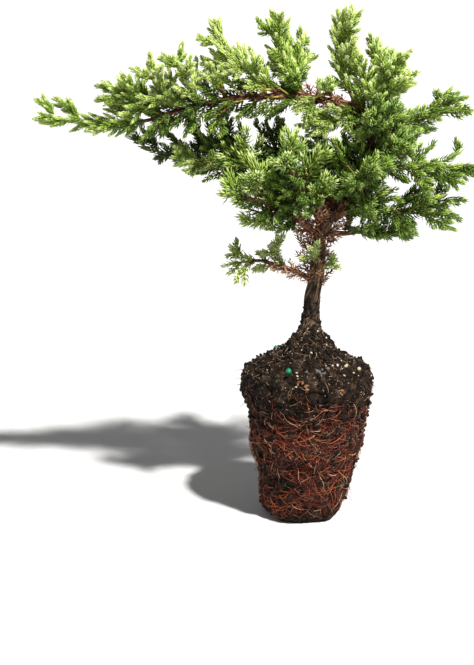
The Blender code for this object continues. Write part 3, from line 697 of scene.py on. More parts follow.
def trunk_line():
    """The trunk through its course as a Catmull-Rom curve, with evenly spaced points."""
    places = [Vector(place) for place, _ in TRUNK_COURSE]
    radii = [radius for _, radius in TRUNK_COURSE]
    steps = [step / FINE_STEPS * (len(radii) - 1) for step in range(FINE_STEPS + 1)]
    fine = [spline(places, step) for step in steps]
    thick = [float(np.interp(step, range(len(radii)), radii)) for step in steps]
    walked = [0.0]
    for a, b in zip(fine, fine[1:]):
        walked.append(walked[-1] + (b - a).length)
    points, even_radii = [], []
    for k in range(TRUNK_RINGS):
        place = np.interp(walked[-1] * k / (TRUNK_RINGS - 1), walked, range(len(fine)))
        i = min(int(place), len(fine) - 2)
        points.append(between(fine[i], fine[i + 1], place - i))
        even_radii.append(between(thick[i], thick[i + 1], place - i))
    return Limb(points, even_radii)


def bough_line(bough, parent):
    """A tapering limb from its parent's axis, bowed up by its arch and wandering a little."""
    start = parent.at(bough.along)
    aim = towards(bough.heading, bough.rise)
    bow = (UP - aim * aim.dot(UP)).normalized() * bough.arch
    count = max(3, round(bough.length / RING_SPACING)) + 1
    points, radii = [], []
    for i in range(count):
        t = i / (count - 1)
        straight = start + aim * (bough.length * t)
        wander = noise.noise_vector(start + aim * (bough.length * t * WANDER_SCALE))
        wander *= WANDER * math.sin(math.pi * t)
        points.append(straight + bow * (4 * t * (1 - t)) + wander)
        radii.append(between(*bough.radii, t))
    return Limb(points, radii, parent)


class Shoot:
    """A leader or twig of the source: the middle of its root and of each whorl, and its bud."""

    def __init__(self, centres, bud, order, side=None):
        self.centres = centres
        self.bud = bud
        self.order = order
        self.frames = turned_frames([*centres, bud], side)
        self.samples = samples([*centres, bud])

    def valleys(self, whorl):
        """The directions that run between a whorl's needles."""
        _, side, cross = self.frames[whorl]
        count = 2 * NEEDLES_PER_WHORL
        turns = [2 * math.pi * i / count for i in range(count) if (i + whorl) % 2]
        return [side * math.cos(turn) + cross * math.sin(turn) for turn in turns]


def leader_line(base, first_aim, length, heading, rise, limb=None):
    """A leader that leaves the base along first_aim and bends to its own heading and rise."""
    end = base + towards(heading, rise) * length
    knee = base + (first_aim + towards(heading, rise - LEADER_SAG)).normalized() * length * 0.5

    def curve(t):
        return base * (1 - t) ** 2 + knee * (2 * t * (1 - t)) + end * t**2

    start = 0.0
    while limb and limb.clearance(curve(start)) < FIRST_WHORL:
        start += LEADER_STEP
    finish = 1 - NEEDLE_FORWARD / length
    count = max(2, round((finish - start) * length / WHORL_SPACING))
    step = (finish - start) / count
    whorls = [curve(start + step * i) for i in range(0 if limb else 1, count + 1)]
    return Shoot([base, *whorls], end, "leader")


class Plant:
    """The limbs, and the leaders and twigs of each mass, as the source grows them."""

    def __init__(self):
        noise.seed_set(SEED)
        self.random = random.Random(SEED)
        self.limbs = {"trunk": trunk_line()}
        for name, bough in BOUGHS.items():
            self.limbs[name] = bough_line(bough, self.limbs[bough.on])
        self.shoots = {name: self.leaders_of(mass) for name, mass in MASSES.items()}
        self.grow_twigs()

    def leaders_of(self, mass):
        limb = self.limbs[mass.on]
        if mass.along == 1:
            base = limb.at(1) + limb.end_aim() * GAP
            leader = leader_line(base, limb.end_aim(), mass.length, mass.heading, mass.rise)
        else:
            aim = towards(mass.heading, mass.rise)
            leader = leader_line(limb.at(mass.along), aim, mass.length, mass.heading, mass.rise, limb)
        line = [*leader.centres, leader.bud]
        found = [leader]
        for along, length, heading, rise in mass.forks:
            place = along * (len(line) - 1)
            i = int(place)
            root = between(line[i], line[i + 1], place - i)
            aim = (line[i + 1] - line[i]).normalized()
            found.append(leader_line(root, aim, length, heading, rise))
        return found

    def foreign(self, name):
        """Places along the shoots of all the other masses."""
        return np.concatenate([s.samples for n, found in self.shoots.items() if n != name for s in found])

    def clear_of_limbs(self, point):
        return min(limb.clearance(point) for limb in self.limbs.values())

    def has_room(self, name, twig, foreign):
        """True if a twig's axis stays in its mass's own space and off the limbs."""
        outer = twig.samples[SAMPLES_IN_LEADER:]
        if min(nearest(foreign, place) for place in outer) < FOREIGN_SPACING:
            return False
        own = np.concatenate([s.samples for s in self.shoots[name]])
        if min(nearest(own, place) for place in outer[-SAMPLES_AT_BUD:]) < OWN_SPACING:
            return False
        return min(self.clear_of_limbs(place) for place in outer[::2]) > LIMB_SPACING

    def grow_twigs(self):
        """Twigs whorl by whorl in every mass in turn, so that none takes its neighbour's space first."""
        waiting = {
            name: [(leader, k) for leader in leaders for k in range(1, len(leader.centres) - 1)]
            for name, leaders in self.shoots.items()
        }
        while any(waiting.values()):
            for name in self.shoots:
                if waiting[name]:
                    self.grow_whorl(name, *waiting[name].pop(0))

    def grow_whorl(self, name, leader, whorl):
        """One twig at an even whorl and up to two at an odd one."""
        ways = leader.valleys(whorl)
        self.random.shuffle(ways)
        foreign = self.foreign(name)
        grown = 0
        for outward in ways:
            twig = self.twig(name, leader, whorl, outward, foreign)
            if twig:
                self.shoots[name].append(twig)
                grown += 1
            if grown == TWIGS_PER_WHORL[whorl % 2]:
                return

    def twig(self, name, leader, whorl, outward, foreign):
        """A twig as long as there is room for, or None."""
        tangent = leader.frames[whorl][0]
        root = between(leader.centres[whorl], leader.centres[whorl + 1], TWIG_PLACE)
        share = whorl / len(leader.centres)
        spread = math.radians(between(*TWIG_SPREAD, share))
        aim = (tangent * math.cos(spread) + outward * math.sin(spread) + UP * TWIG_LIFT).normalized()
        length = (leader.bud - leader.centres[0]).length
        size = length * between(*TWIG_SHARE, share) * self.random.uniform(*TWIG_VARIES)
        shortest, longest = TWIG_LENGTHS
        size = min(max(size, shortest), longest, (leader.bud - root).length + TWIG_PAST_BUD)
        for part in TWIG_TRIES:
            reach = size * part
            if reach < SHORTEST_TRY:
                return None
            bend = (tangent + UP * TWIG_RISE_IN_BEND) * (TWIG_BEND * reach)
            bud = root + aim * (reach * TWIG_STRAIGHT) + bend
            whorls = LONG_TWIG_WHORLS if reach > LONG_TWIG else SHORT_TWIG_WHORLS
            centres = [root] + [root + aim * (reach * t) + bend * t**3 for t in whorls]
            twig = Shoot(centres, bud, "twig", tangent - aim * aim.dot(tangent))
            if self.has_room(name, twig, foreign):
                return twig
        return None


class Axis:
    """The line of a shoot as arrays, at even steps: points, and frames that turn little."""

    def __init__(self, points, order, growth=GREEN, step=AXIS_STEP, trim=0.0):
        count = FINE_PER_POINT * (len(points) - 1) + 1
        line = np.array([spline(points, i / FINE_PER_POINT) for i in range(count)])
        walked = np.concatenate([[0], np.cumsum(np.linalg.norm(np.diff(line, axis=0), axis=1))])
        self.length = max(walked[-1] - trim, walked[-1] * SHORTEST_SHARE)
        self.walked = np.linspace(0, self.length, max(3, round(self.length / step)) + 1)
        self.points = np.stack([np.interp(self.walked, walked, line[:, k]) for k in range(3)], 1)
        frames = turned_frames([Vector(p) for p in self.points])
        self.tangents, self.sides, self.crosses = (np.array(part) for part in zip(*frames))
        self.order = order
        self.growth = growth

    def cut(self, length):
        """The same line, ended at that length."""
        kept = max(3, int(np.searchsorted(self.walked, length)))
        for part in ("points", "tangents", "sides", "crosses", "walked"):
            setattr(self, part, getattr(self, part)[:kept])
        self.length = self.walked[-1]

    def read(self, along):
        """Points, tangents, sides and crosses at the lengths along the line."""
        parts = (self.points, self.tangents, self.sides, self.crosses)
        return [
            np.stack([np.interp(along, self.walked, part[:, k]) for k in range(3)], 1) for part in parts
        ]

    def beyond_foot(self):
        """Every second point from the foot on, which is where a shoot needs room."""
        return self.points[self.walked > BRANCHLET_FOOT][::2]


class Crowd:
    """The places that shoots have taken, in cells, so that a new one soon finds its neighbours."""

    def __init__(self, spacing):
        self.spacing = spacing
        self.cells = defaultdict(list)

    def cell(self, place):
        return tuple(int(v // self.spacing) for v in place)

    def add(self, places):
        for place in places:
            self.cells[self.cell(place)].append(tuple(place))

    def free(self, places, room):
        """True if no other place is within that room, which is at most the cells' size."""
        least = room**2
        around = (-1, 0, 1)
        for x, y, z in places:
            i, j, k = self.cell((x, y, z))
            near = [(i + a, j + b, k + c) for a in around for b in around for c in around]
            for key in near:
                for p, q, r in self.cells.get(key, ()):
                    if (p - x) ** 2 + (q - y) ** 2 + (r - z) ** 2 < least:
                        return False
        return True


def seen(places):
    """How far across, up and towards the viewer of the photograph the places are."""
    x, y, z = np.asarray(places).T
    rise = math.radians(CAMERA_RISE)
    return x, z * math.cos(rise) + y * math.sin(rise), z * math.sin(rise) - y * math.cos(rise)


def in_sky(places):
    """True for the places that are seen where the photograph shows sky."""
    across, up, _ = seen(places)
    windows = ((across > x0) & (across < x1) & (up > y0) & (up < y1) for x0, x1, y0, y1 in SKY)
    return np.logical_or.reduce(list(windows))


def opened(axis, trim):
    """False for a twig that is nearly all in the sky, once it or a leader has been cut back to it."""
    open_at = in_sky(axis.points)
    if not open_at.any():
        return True
    first = axis.walked[open_at.argmax()]
    if axis.order == "leader":
        axis.cut(max(first, axis.length + trim - LEADER_END))
        return True
    shown = first > TWIG_FROM_SKY * axis.length and first > BRANCHLET_FOOT + NEEDLE_REACH
    axis.cut(first - NEEDLE_REACH)
    return shown


def hides_bough(plant, places):
    """True for the places that hide the bare parts of the long bough from the viewer."""
    limb = plant.limbs["bough_long_left"]
    steps = [i / BARE_STEPS for i in range(BARE_STEPS + 1)]
    across, up, near = seen([limb.at(between(first, last, t)) for first, last in BARE for t in steps])
    x, y, z = seen(places)
    off = np.hypot(x[:, None] - across, y[:, None] - up)
    return (off.min(1) < BARE_ROOM) & (z > near[off.argmin(1)])


def hides(plant, axis, parent):
    """True for a branchlet that hides the bare bough or, except on a leader, ends in the sky."""
    if hides_bough(plant, axis.points).any():
        return True
    return parent.order != "leader" and in_sky(axis.points[len(axis.points) // 2 :]).any()


def varied(growth, dice, low, high):
    """The same growth, a little less or more fresh."""
    return growth._replace(tone=growth.tone + dice.uniform(low, high))


def at_shares(shares, values):
    """Values that stand at even shares of a line, read at other shares of it."""
    return np.interp(shares, np.linspace(0, 1, len(values)), values)


def trim_of(name, shoot):
    """How much shorter than the source's a shoot of that mass is."""
    trim = TRIMS.get(name, END_TRIM)
    if shoot.order == "twig":
        trim = min(trim, TWIG_TRIMS.get(name, TWIG_TRIM))
    if shoot.bud.z < shoot.centres[0].z - POINTS_DOWN:
        trim += TRIMS_BELOW.get(name, 0)
    return trim


def grow_axes(plant, dice):
    """Every shoot as an axis: the source's leaders and twigs, and branchlets wherever there is room."""
    axes = []
    for name, shoots in plant.shoots.items():
        for shoot in shoots:
            growth = varied(MASSES[name].look, dice, *TONE_VARIES)
            trim = trim_of(name, shoot)
            axis = Axis([*shoot.centres, shoot.bud], shoot.order, growth, trim=trim)
            if opened(axis, trim):
                axes.append(axis)
    crowd = Crowd(CROWD_CELL)
    for axis in axes:
        crowd.add(axis.points)
    for limb in plant.limbs.values():
        crowd.add(samples(limb.points))
    for name, limb in plant.limbs.items():
        axes += limb_sprays(name, limb, crowd, dice)
    for parent in list(axes):
        grown = branchlets(parent, crowd, dice)
        axes += [a for a in grown if a.order == "dead" or not hides(plant, a, parent)]
    return axes


def limb_sprays(name, limb, crowd, dice):
    """Short sprays straight on a limb: dead near the soil and the trunk, live further out."""
    found = []
    first, last, live_from = SPRAYS_ON_TRUNK if name == "trunk" else SPRAYS_ON_BOUGH
    live_from = LIVE_FROM.get(name, live_from)
    line = Axis(limb.points, "leader")
    along = line.length * first
    turn = dice.uniform(0, 2 * math.pi)
    while along < line.length * last:
        live = along / line.length > live_from + dice.uniform(*LIVE_VARIES)
        axis = limb_spray(name, limb, line, along, turn, live, dice)
        room = axis.growth.room if live else DEAD_ROOM
        hidden = live and in_sky(axis.points[-1:]).any()
        if not hidden and crowd.free(axis.beyond_foot(), room):
            crowd.add(axis.points)
            found.append(axis)
        turn += GOLDEN_TURN
        along += SPRAY_SPACING * dice.uniform(*SPRAY_SPACING_VARIES)
    return found


def limb_spray(name, limb, line, along, turn, live, dice):
    """One spray that leaves a limb from under its bark, at a length along its line."""
    (middle,), (tangent,), (side,), (cross,) = line.read([along])
    outward = side * math.cos(turn) + cross * math.sin(turn)
    spread = math.radians(dice.uniform(*SPRAY_SPREAD))
    aim = tangent * math.cos(spread) + outward * math.sin(spread)
    root = middle + outward * float(at_shares(along / line.length, limb.radii)) * SPRAY_ROOT
    sizes = LIVE_SPRAYS if live else DEAD_SPRAYS
    size = dice.uniform(*sizes.get(name, sizes["bough"]))
    bend = Vector((tangent + np.array(UP)) * size * SPRAY_BEND)
    points = [Vector(root + aim * size * t) + bend * t**2 for t in SPRAY_POINTS]
    growth = varied(SPARSE if name == "bough_low_left" else LIMB_GREEN, dice, *TONE_VARIES)
    return Axis(points, "twig" if live else "dead", growth)


def branchlets(parent, crowd, dice):
    """The branchlets of one shoot, turned on by the golden angle from one to the next."""
    found = []
    order = "dead" if parent.order == "dead" else "branchlet"
    shortest, longest = BRANCHLET_LENGTHS
    turn = dice.uniform(0, 2 * math.pi)
    along = parent.length * BRANCHLET_FROM[parent.order]
    while along < parent.length * BRANCHLET_TO:
        (root,), (tangent,), (side,), (cross,) = parent.read([along])
        share = along / parent.length
        spread = math.radians(between(*BRANCHLET_SPREAD, share) + dice.uniform(*BRANCHLET_SPREAD_VARIES))
        outward = side * math.cos(turn) + cross * math.sin(turn)
        aim = tangent * math.cos(spread) + outward * math.sin(spread)
        size = parent.length * between(*BRANCHLET_SHARE[parent.order], share)
        size *= dice.uniform(*BRANCHLET_VARIES)
        size = min(max(size, shortest), longest, parent.length - along + BRANCHLET_PAST_BUD)
        for part in BRANCHLET_TRIES:
            reach = size * part
            if reach < shortest * BRANCHLET_TRIES[-1]:
                break
            bend = Vector(tangent) * (BRANCHLET_BEND * reach)
            line = [Vector(root + aim * reach * t) + bend * t**2 for t in BRANCHLET_POINTS]
            axis = Axis(line, order, varied(parent.growth, dice, *BRANCHLET_TONE))
            if crowd.free(axis.beyond_foot(), axis.growth.room):
                crowd.add(axis.points)
                found.append(axis)
                break
        turn += GOLDEN_TURN
        along += BRANCHLET_SPACING[parent.order] * dice.uniform(*BRANCHLET_SPACING_VARIES)
    return found


def needles_on(axis, chance):
    """Needles in whorls along an axis: base, aim, inner face's direction, length, width, and freshness,
    whose low values are partly painted shade.
    """
    order = ORDERS[axis.order]
    growth = axis.growth
    along = [order.bare]
    while along[-1] < axis.length:
        share = along[-1] / axis.length
        along.append(along[-1] + order.spacing * growth.spacing * (1 - CLOSER_AT_BUD * share**2))
    along = np.array(along[:-1])
    share = np.repeat(along / axis.length, WHORL_NEEDLES)
    count = len(share)
    points, tangents, sides, crosses = (np.repeat(part, WHORL_NEEDLES, 0) for part in axis.read(along))
    whorl = np.repeat(np.arange(len(along)), WHORL_NEEDLES)
    in_whorl = np.tile(np.arange(WHORL_NEEDLES), len(along))
    turn = whorl * math.pi / WHORL_NEEDLES + in_whorl * (2 * math.pi / WHORL_NEEDLES)
    turn += chance.uniform(0, 2 * math.pi) + np.radians(chance.uniform(-TURN_JITTER, TURN_JITTER, count))
    spread = between(*order.spread, share**SPREAD_FALLS) * growth.spread
    spread = np.radians(spread + chance.uniform(-SPREAD_JITTER, SPREAD_JITTER, count))
    outward = sides * np.cos(turn)[:, None] + crosses * np.sin(turn)[:, None]
    aim = tangents * np.cos(spread)[:, None] + outward * np.sin(spread)[:, None]
    face = tangents * np.sin(spread)[:, None] - outward * np.cos(spread)[:, None]
    profile = np.interp(share, [0, LONGEST_AT, 1], [SHORT_AT_ROOT, 1, SHORT_AT_BUD])
    length = order.length * growth.length * profile
    length = length * chance.uniform(1 - LENGTH_JITTER, 1 + LENGTH_JITTER, count)
    width = order.width * growth.width * chance.uniform(1 - WIDTH_JITTER, 1 + WIDTH_JITTER, count)
    width = width * np.sqrt(profile)
    # Needles towards a shoot's root are made less fresh and so darker: partly real age, partly painted
    # shade inside the shoots
    fresh = growth.tone - order.older * (1 - share) + chance.uniform(-FRESH_JITTER, FRESH_JITTER, count)
    fresh += TIP_TONE * np.clip((share - TIP_FROM) / (1 - TIP_FROM), 0, 1)
    return points, aim, face, length, width, fresh


def needle_shapes(points, aim, face, length, width):
    """Five points a needle: its root in the stem, its two edges, its keeled back and its tip."""
    edge = np.cross(aim, face)
    middle = points + aim * (length * NEEDLE_WIDEST)[:, None] - face * (length * NEEDLE_BOW)[:, None]
    half = (width / 2)[:, None]
    corners = [
        points,
        middle - edge * half,
        middle + edge * half,
        middle - face * half * NEEDLE_KEEL,
        points + aim * length[:, None],
    ]
    faces = [(0, 2, 1), (4, 1, 2), (0, 3, 2), (0, 1, 3), (4, 2, 3), (4, 3, 1)]
    count = len(points)
    shape = np.stack(corners, 1).reshape(-1, 3)
    faces = (np.array(faces)[None] + np.arange(count)[:, None, None] * len(corners)).reshape(-1, 3)
    inner = np.tile([1, 1, 0, 0, 0, 0], count)
    return shape, faces, inner


def tube(points, radii, sides, sections=None):
    """A tube of triangles round a line, closed to a point at both ends."""
    frames = turned_frames([Vector(p) for p in points])
    turns = np.arange(sides) * 2 * math.pi / sides
    side = np.array([f[1] for f in frames])[:, None]
    cross = np.array([f[2] for f in frames])[:, None]
    around = side * np.cos(turns)[None, :, None] + cross * np.sin(turns)[None, :, None]
    around = np.array(radii)[:, None, None] * around
    if sections is not None:
        around = around * sections[:, :, None]
    shape = (np.array(points)[:, None] + around).reshape(-1, 3)
    start = points[0] - np.array(frames[0][0]) * radii[0] / 2
    end = points[-1] + np.array(frames[-1][0]) * radii[-1]
    return np.concatenate([shape, [start, end]]), tube_faces(len(points), sides)


def tube_faces(rings, sides):
    """The faces of a tube whose two end points follow its rings."""
    row = np.arange(rings - 1)[:, None] * sides
    here = np.arange(sides)
    on = (here + 1) % sides
    low = (row + here).ravel()
    next_one = (row + on).ravel()
    walls = [(low, next_one, next_one + sides), (low, next_one + sides, low + sides)]
    top = (rings - 1) * sides
    start = np.full(sides, rings * sides)
    caps = [(on, here, start), (top + here, top + on, start + 1)]
    return np.concatenate([np.stack(corners, 1) for corners in walls + caps])


class Heap:
    """Shapes of one kind, gathered and then joined into one piece."""

    def __init__(self):
        self.points = []
        self.faces = []
        self.count = 0

    def add(self, points, faces):
        self.points.append(points)
        self.faces.append(faces + self.count)
        self.count += len(points)

    def piece(self, name, material, slot):
        return piece(name, np.concatenate(self.points), np.concatenate(self.faces), [material])


def piece(name, points, faces, materials, inner=None):
    """A smooth mesh in metres, riding on the plant's one body. Inner faces take the second material."""
    mesh = bpy.data.meshes.new(name)
    mesh.vertices.add(len(points))
    mesh.vertices.foreach_set("co", (points * MM).astype(np.float32).ravel())
    mesh.loops.add(faces.size)
    mesh.loops.foreach_set("vertex_index", faces.astype(np.int32).ravel())
    mesh.polygons.add(len(faces))
    mesh.polygons.foreach_set("loop_start", np.arange(0, faces.size, 3, dtype=np.int32))
    if inner is not None:
        mesh.polygons.foreach_set("material_index", inner.astype(np.int32))
    mesh.polygons.foreach_set("use_smooth", np.ones(len(faces), bool))
    mesh.update(calc_edges=True)
    for material in materials:
        mesh.materials.append(material)
    made = bpy.data.objects.new(name, mesh)
    bpy.context.scene.collection.objects.link(made)
    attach(made, "root")
    return made


class Look:
    """A material whose nodes are added one call at a time."""

    def __init__(self, name, colour, sheen):
        self.made = bpy.data.materials.new(name)
        self.made.use_nodes = True
        self.nodes = self.made.node_tree.nodes
        self.shader = self.nodes["Principled BSDF"]
        self.shader.inputs["Base Color"].default_value = (*colour, 1)
        self.shader.inputs["Specular IOR Level"].default_value = sheen
        self.where = self.nodes.new("ShaderNodeTexCoord").outputs["Object"]

    def link(self, a, b):
        self.made.node_tree.links.new(a, b)

    def noise(self, scale, detail=4):
        """Noise with that many waves a metre."""
        made = self.nodes.new("ShaderNodeTexNoise")
        made.inputs["Scale"].default_value = scale
        made.inputs["Detail"].default_value = detail
        self.link(self.where, made.inputs["Vector"])
        return made.outputs["Fac"]

    def relief_and(self, value):
        """The mesh's relief with a share of another value added."""
        relief = self.nodes.new("ShaderNodeAttribute")
        relief.attribute_name = "relief"
        made = self.nodes.new("ShaderNodeMath")
        made.operation = "MULTIPLY_ADD"
        made.inputs[1].default_value = NOISE_SHARE
        self.link(value, made.inputs[0])
        self.link(relief.outputs["Fac"], made.inputs[2])
        return made.outputs[0]

    def colours(self, value, stops):
        """Base colour from a value, by stops as (place, colour)."""
        ramp = self.nodes.new("ShaderNodeValToRGB")
        while len(ramp.color_ramp.elements) < len(stops):
            ramp.color_ramp.elements.new(0.5)
        for element, (place, colour) in zip(ramp.color_ramp.elements, stops):
            element.position = place
            element.color = (*colour, 1)
        self.link(value, ramp.inputs["Fac"])
        self.link(ramp.outputs["Color"], self.shader.inputs["Base Color"])

    def finish(self, finish):
        """Uneven roughness and a fine grain."""
        uneven = self.nodes.new("ShaderNodeMapRange")
        uneven.inputs["To Min"].default_value = finish.low
        uneven.inputs["To Max"].default_value = finish.high
        self.link(self.noise(finish.waves), uneven.inputs["Value"])
        self.link(uneven.outputs["Result"], self.shader.inputs["Roughness"])
        bump = self.nodes.new("ShaderNodeBump")
        bump.inputs["Strength"].default_value = finish.strength
        bump.inputs["Distance"].default_value = finish.depth
        self.link(self.noise(finish.grain, finish.detail), bump.inputs["Height"])
        self.link(bump.outputs["Normal"], self.shader.inputs["Normal"])


def one_colour(name, colour, finish):
    """A material of one colour with that finish."""
    look = Look(name, colour, finish.sheen)
    look.finish(finish)
    return look.made


def plain(name, colour, roughness, sheen=PLAIN.sheen):
    """A material of one colour whose roughness varies round a middle value."""
    finish = PLAIN._replace(sheen=sheen, low=roughness + PLAIN.low, high=min(1.0, roughness + PLAIN.high))
    return one_colour(name, colour, finish)


def by_relief(name, stops, noise_of, finish):
    """A material whose colour follows the mesh's relief."""
    look = Look(name, stops[1][1], finish.sheen)
    look.colours(look.relief_and(look.noise(*noise_of)), stops)
    look.finish(finish)
    return look.made


def add_relief(made, heights):
    """The relief as a value at each point, which the colours follow."""
    attribute = made.data.attributes.new("relief", "FLOAT", "POINT")
    low, high = np.percentile(heights, RELIEF_ENDS)
    attribute.data.foreach_set("value", (RELIEF_SHARE * (heights - low) / (high - low)).astype(np.float32))


def make_needles(plant, axes, chance):
    """All needles, dealt out by freshness, which is partly painted shade, in pieces of a set size."""
    for tints, dead in ((TINTS, False), (DEAD_TINTS, True)):
        found = [needles_on(axis, chance) for axis in axes if (axis.order == "dead") == dead]
        found = [np.concatenate(part) for part in zip(*found)]
        if not dead:
            shown = ~hides_bough(plant, found[0])
            found = [part[shown] for part in found]
        lowest = -math.inf
        for kind, tint in tints.items():
            chosen = (found[-1] >= lowest) & (found[-1] < tint.below)
            lowest = tint.below
            deal(kind, tint, [part[chosen] for part in found[:-1]])


def deal(kind, tint, needles):
    """The needles of one kind, in as many pieces as they take."""
    colours = {f"needle_{kind}": tint.back, f"needle_{kind}_face": tint.face}
    looks = [one_colour(name, colour, WAXY) for name, colour in colours.items()]
    for number, first in enumerate(range(0, len(needles[0]), NEEDLES_PER_PIECE), 1):
        shape, faces, inner = needle_shapes(*(part[first : first + NEEDLES_PER_PIECE] for part in needles))
        made = piece(f"needles_{kind}_{number}", shape, faces, looks, inner)
        if number == 1 and kind in STAND_FOR:
            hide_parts(*(name for name, mass in MASSES.items() if mass.look in STAND_FOR[kind]))


def make_stems(axes):
    """The stems under the needles: woody at the foot of a leader, young and yellow beyond it."""
    woody, young = Heap(), Heap()
    for axis in axes:
        order = ORDERS[axis.order]
        points = axis.points[:: STEM_EVERY[axis.order]]
        radii = at_shares(np.linspace(0, 1, len(points)), order.stem)
        if axis.order == "leader":
            woody_to = np.clip(WOODY - WOODY_FALLS * axis.growth.tone, *WOODY_SHARES)
            cut = max(2, int(len(points) * woody_to))
            woody.add(*tube(points[: cut + 1], radii[: cut + 1] * WOODY_THICKER, order.sides))
            young.add(*tube(points[cut:], radii[cut:], order.sides))
        else:
            heap = woody if axis.order == "dead" else young
            heap.add(*tube(points, radii, order.sides))
    woody.piece("stems_woody", one_colour("stem_woody", WOODY_COLOUR, WOODY_STEM), "bark")
    young.piece("stems_young", one_colour("stem_young", YOUNG_COLOUR, YOUNG_STEM), "foliage_young")


def bark_at(turn, along, radius, seed):
    """Stringy bark at one place: the heights of its strips, its finer grain and its lumps."""
    x = math.cos(turn) * radius / STRIP_WIDTH
    y = math.sin(turn) * radius / STRIP_WIDTH
    far = along / STRIP_LENGTH
    strip = noise.noise(Vector((x, y + seed, far)))
    grain = noise.noise(Vector((x * GRAIN_FINER, y * GRAIN_FINER + seed, far * GRAIN_SHORTER)))
    lump = noise.noise(Vector((x * LUMP_COARSER, y * LUMP_COARSER - seed, along / LUMP_LENGTH)))
    return 1 - STRIP_EDGE * abs(strip), grain, lump


def bark_of(limb, seed):
    """One limb's bark: points, faces and the relief's height at each point."""
    points, radii = limb.points, limb.radii
    if not limb.parent:
        points = [points[0] - UP * SUNK_FOOT, *points]
        radii = [radii[0], *radii]
    axis = Axis(points, "leader", step=BARK_STEP)
    thick = at_shares(np.linspace(0, 1, len(axis.points)), radii)
    if limb.parent:
        past = np.maximum(axis.walked - COLLAR_FROM, 0)
        thick = BOUGH_SHARE * thick * (1 + COLLAR * np.exp(-past / COLLAR_LENGTH))
    else:
        thick *= np.interp(axis.points[:, 2], FOOT_ENDS, (FOOT_SHARE, TRUNK_SHARE))
    sides = BARK_SIDES["bough" if limb.parent else "trunk"]
    turns = [2 * math.pi * i / sides for i in range(sides)]
    rings = zip(axis.walked, thick)
    parts = np.array([[bark_at(turn, along, radius, seed) for turn in turns] for along, radius in rings])
    strip, grain, lump = np.moveaxis(parts, 2, 0)
    sections = 1 + STRIP_HEIGHT * strip + GRAIN_HEIGHT * grain + LUMP_HEIGHT * lump
    shape, faces = tube(axis.points, thick, sides, sections)
    # The colour follows these heights, darkest in the grooves: partly the bark's own colour, partly
    # painted shade
    heights = strip * STRIP_RELIEF + GRAIN_RELIEF * grain + LUMP_RELIEF * lump
    if not limb.parent:
        soiled = np.clip((SOILED_TO - axis.points[:, 2]) / SOILED_FADE, 0, 1)
        heights -= SOILED * soiled[:, None]
    return shape, faces, np.concatenate([heights.ravel(), [0, 0]])


def make_bark(plant):
    """Bark with its relief on the trunk and on the boughs."""
    shape, faces, heights = bark_of(plant.limbs["trunk"], 0.0)
    look = by_relief("bark_trunk", TRUNK_STOPS, TRUNK_NOISE, BARK)
    made = piece("bark_of_trunk", shape, faces, [look])
    add_relief(made, heights)
    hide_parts("trunk")
    heap = Heap()
    relief = []
    for number, name in enumerate(BOUGHS, 1):
        shape, faces, heights = bark_of(plant.limbs[name], number * SEED_STEP)
        heap.add(shape, faces)
        relief.append(heights)
    made = heap.piece("bark_of_boughs", by_relief("bark_boughs", BOUGH_STOPS, BOUGH_NOISE, BARK), "bark")
    add_relief(made, np.concatenate(relief))
    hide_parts(*BOUGHS)


def ball_outline():
    """The radius and height of the root ball's outline, from its underside to the trunk's seat."""
    side = [(between(UNDERSIDE_RADIUS, RIM_RADIUS, out), RIM_HEIGHT * up) for out, up in BALL_SIDE]
    heap = [(RIM_RADIUS * out, RIM_HEIGHT + up) for out, up in HEAP]
    return [
        (UNDERSIDE_RADIUS, 0.0),
        (UNDERSIDE_RADIUS + FOOT_BEVEL[0], FOOT_BEVEL[1]),
        *side,
        (RIM_RADIUS - RIM_BEVEL[0], RIM_HEIGHT + RIM_BEVEL[1]),
        *heap,
        (SEAT_RADIUS + SEAT_BEVEL[0], SOIL_HEIGHT - SEAT_BEVEL[1]),
        (SEAT_RADIUS, SOIL_HEIGHT),
    ]


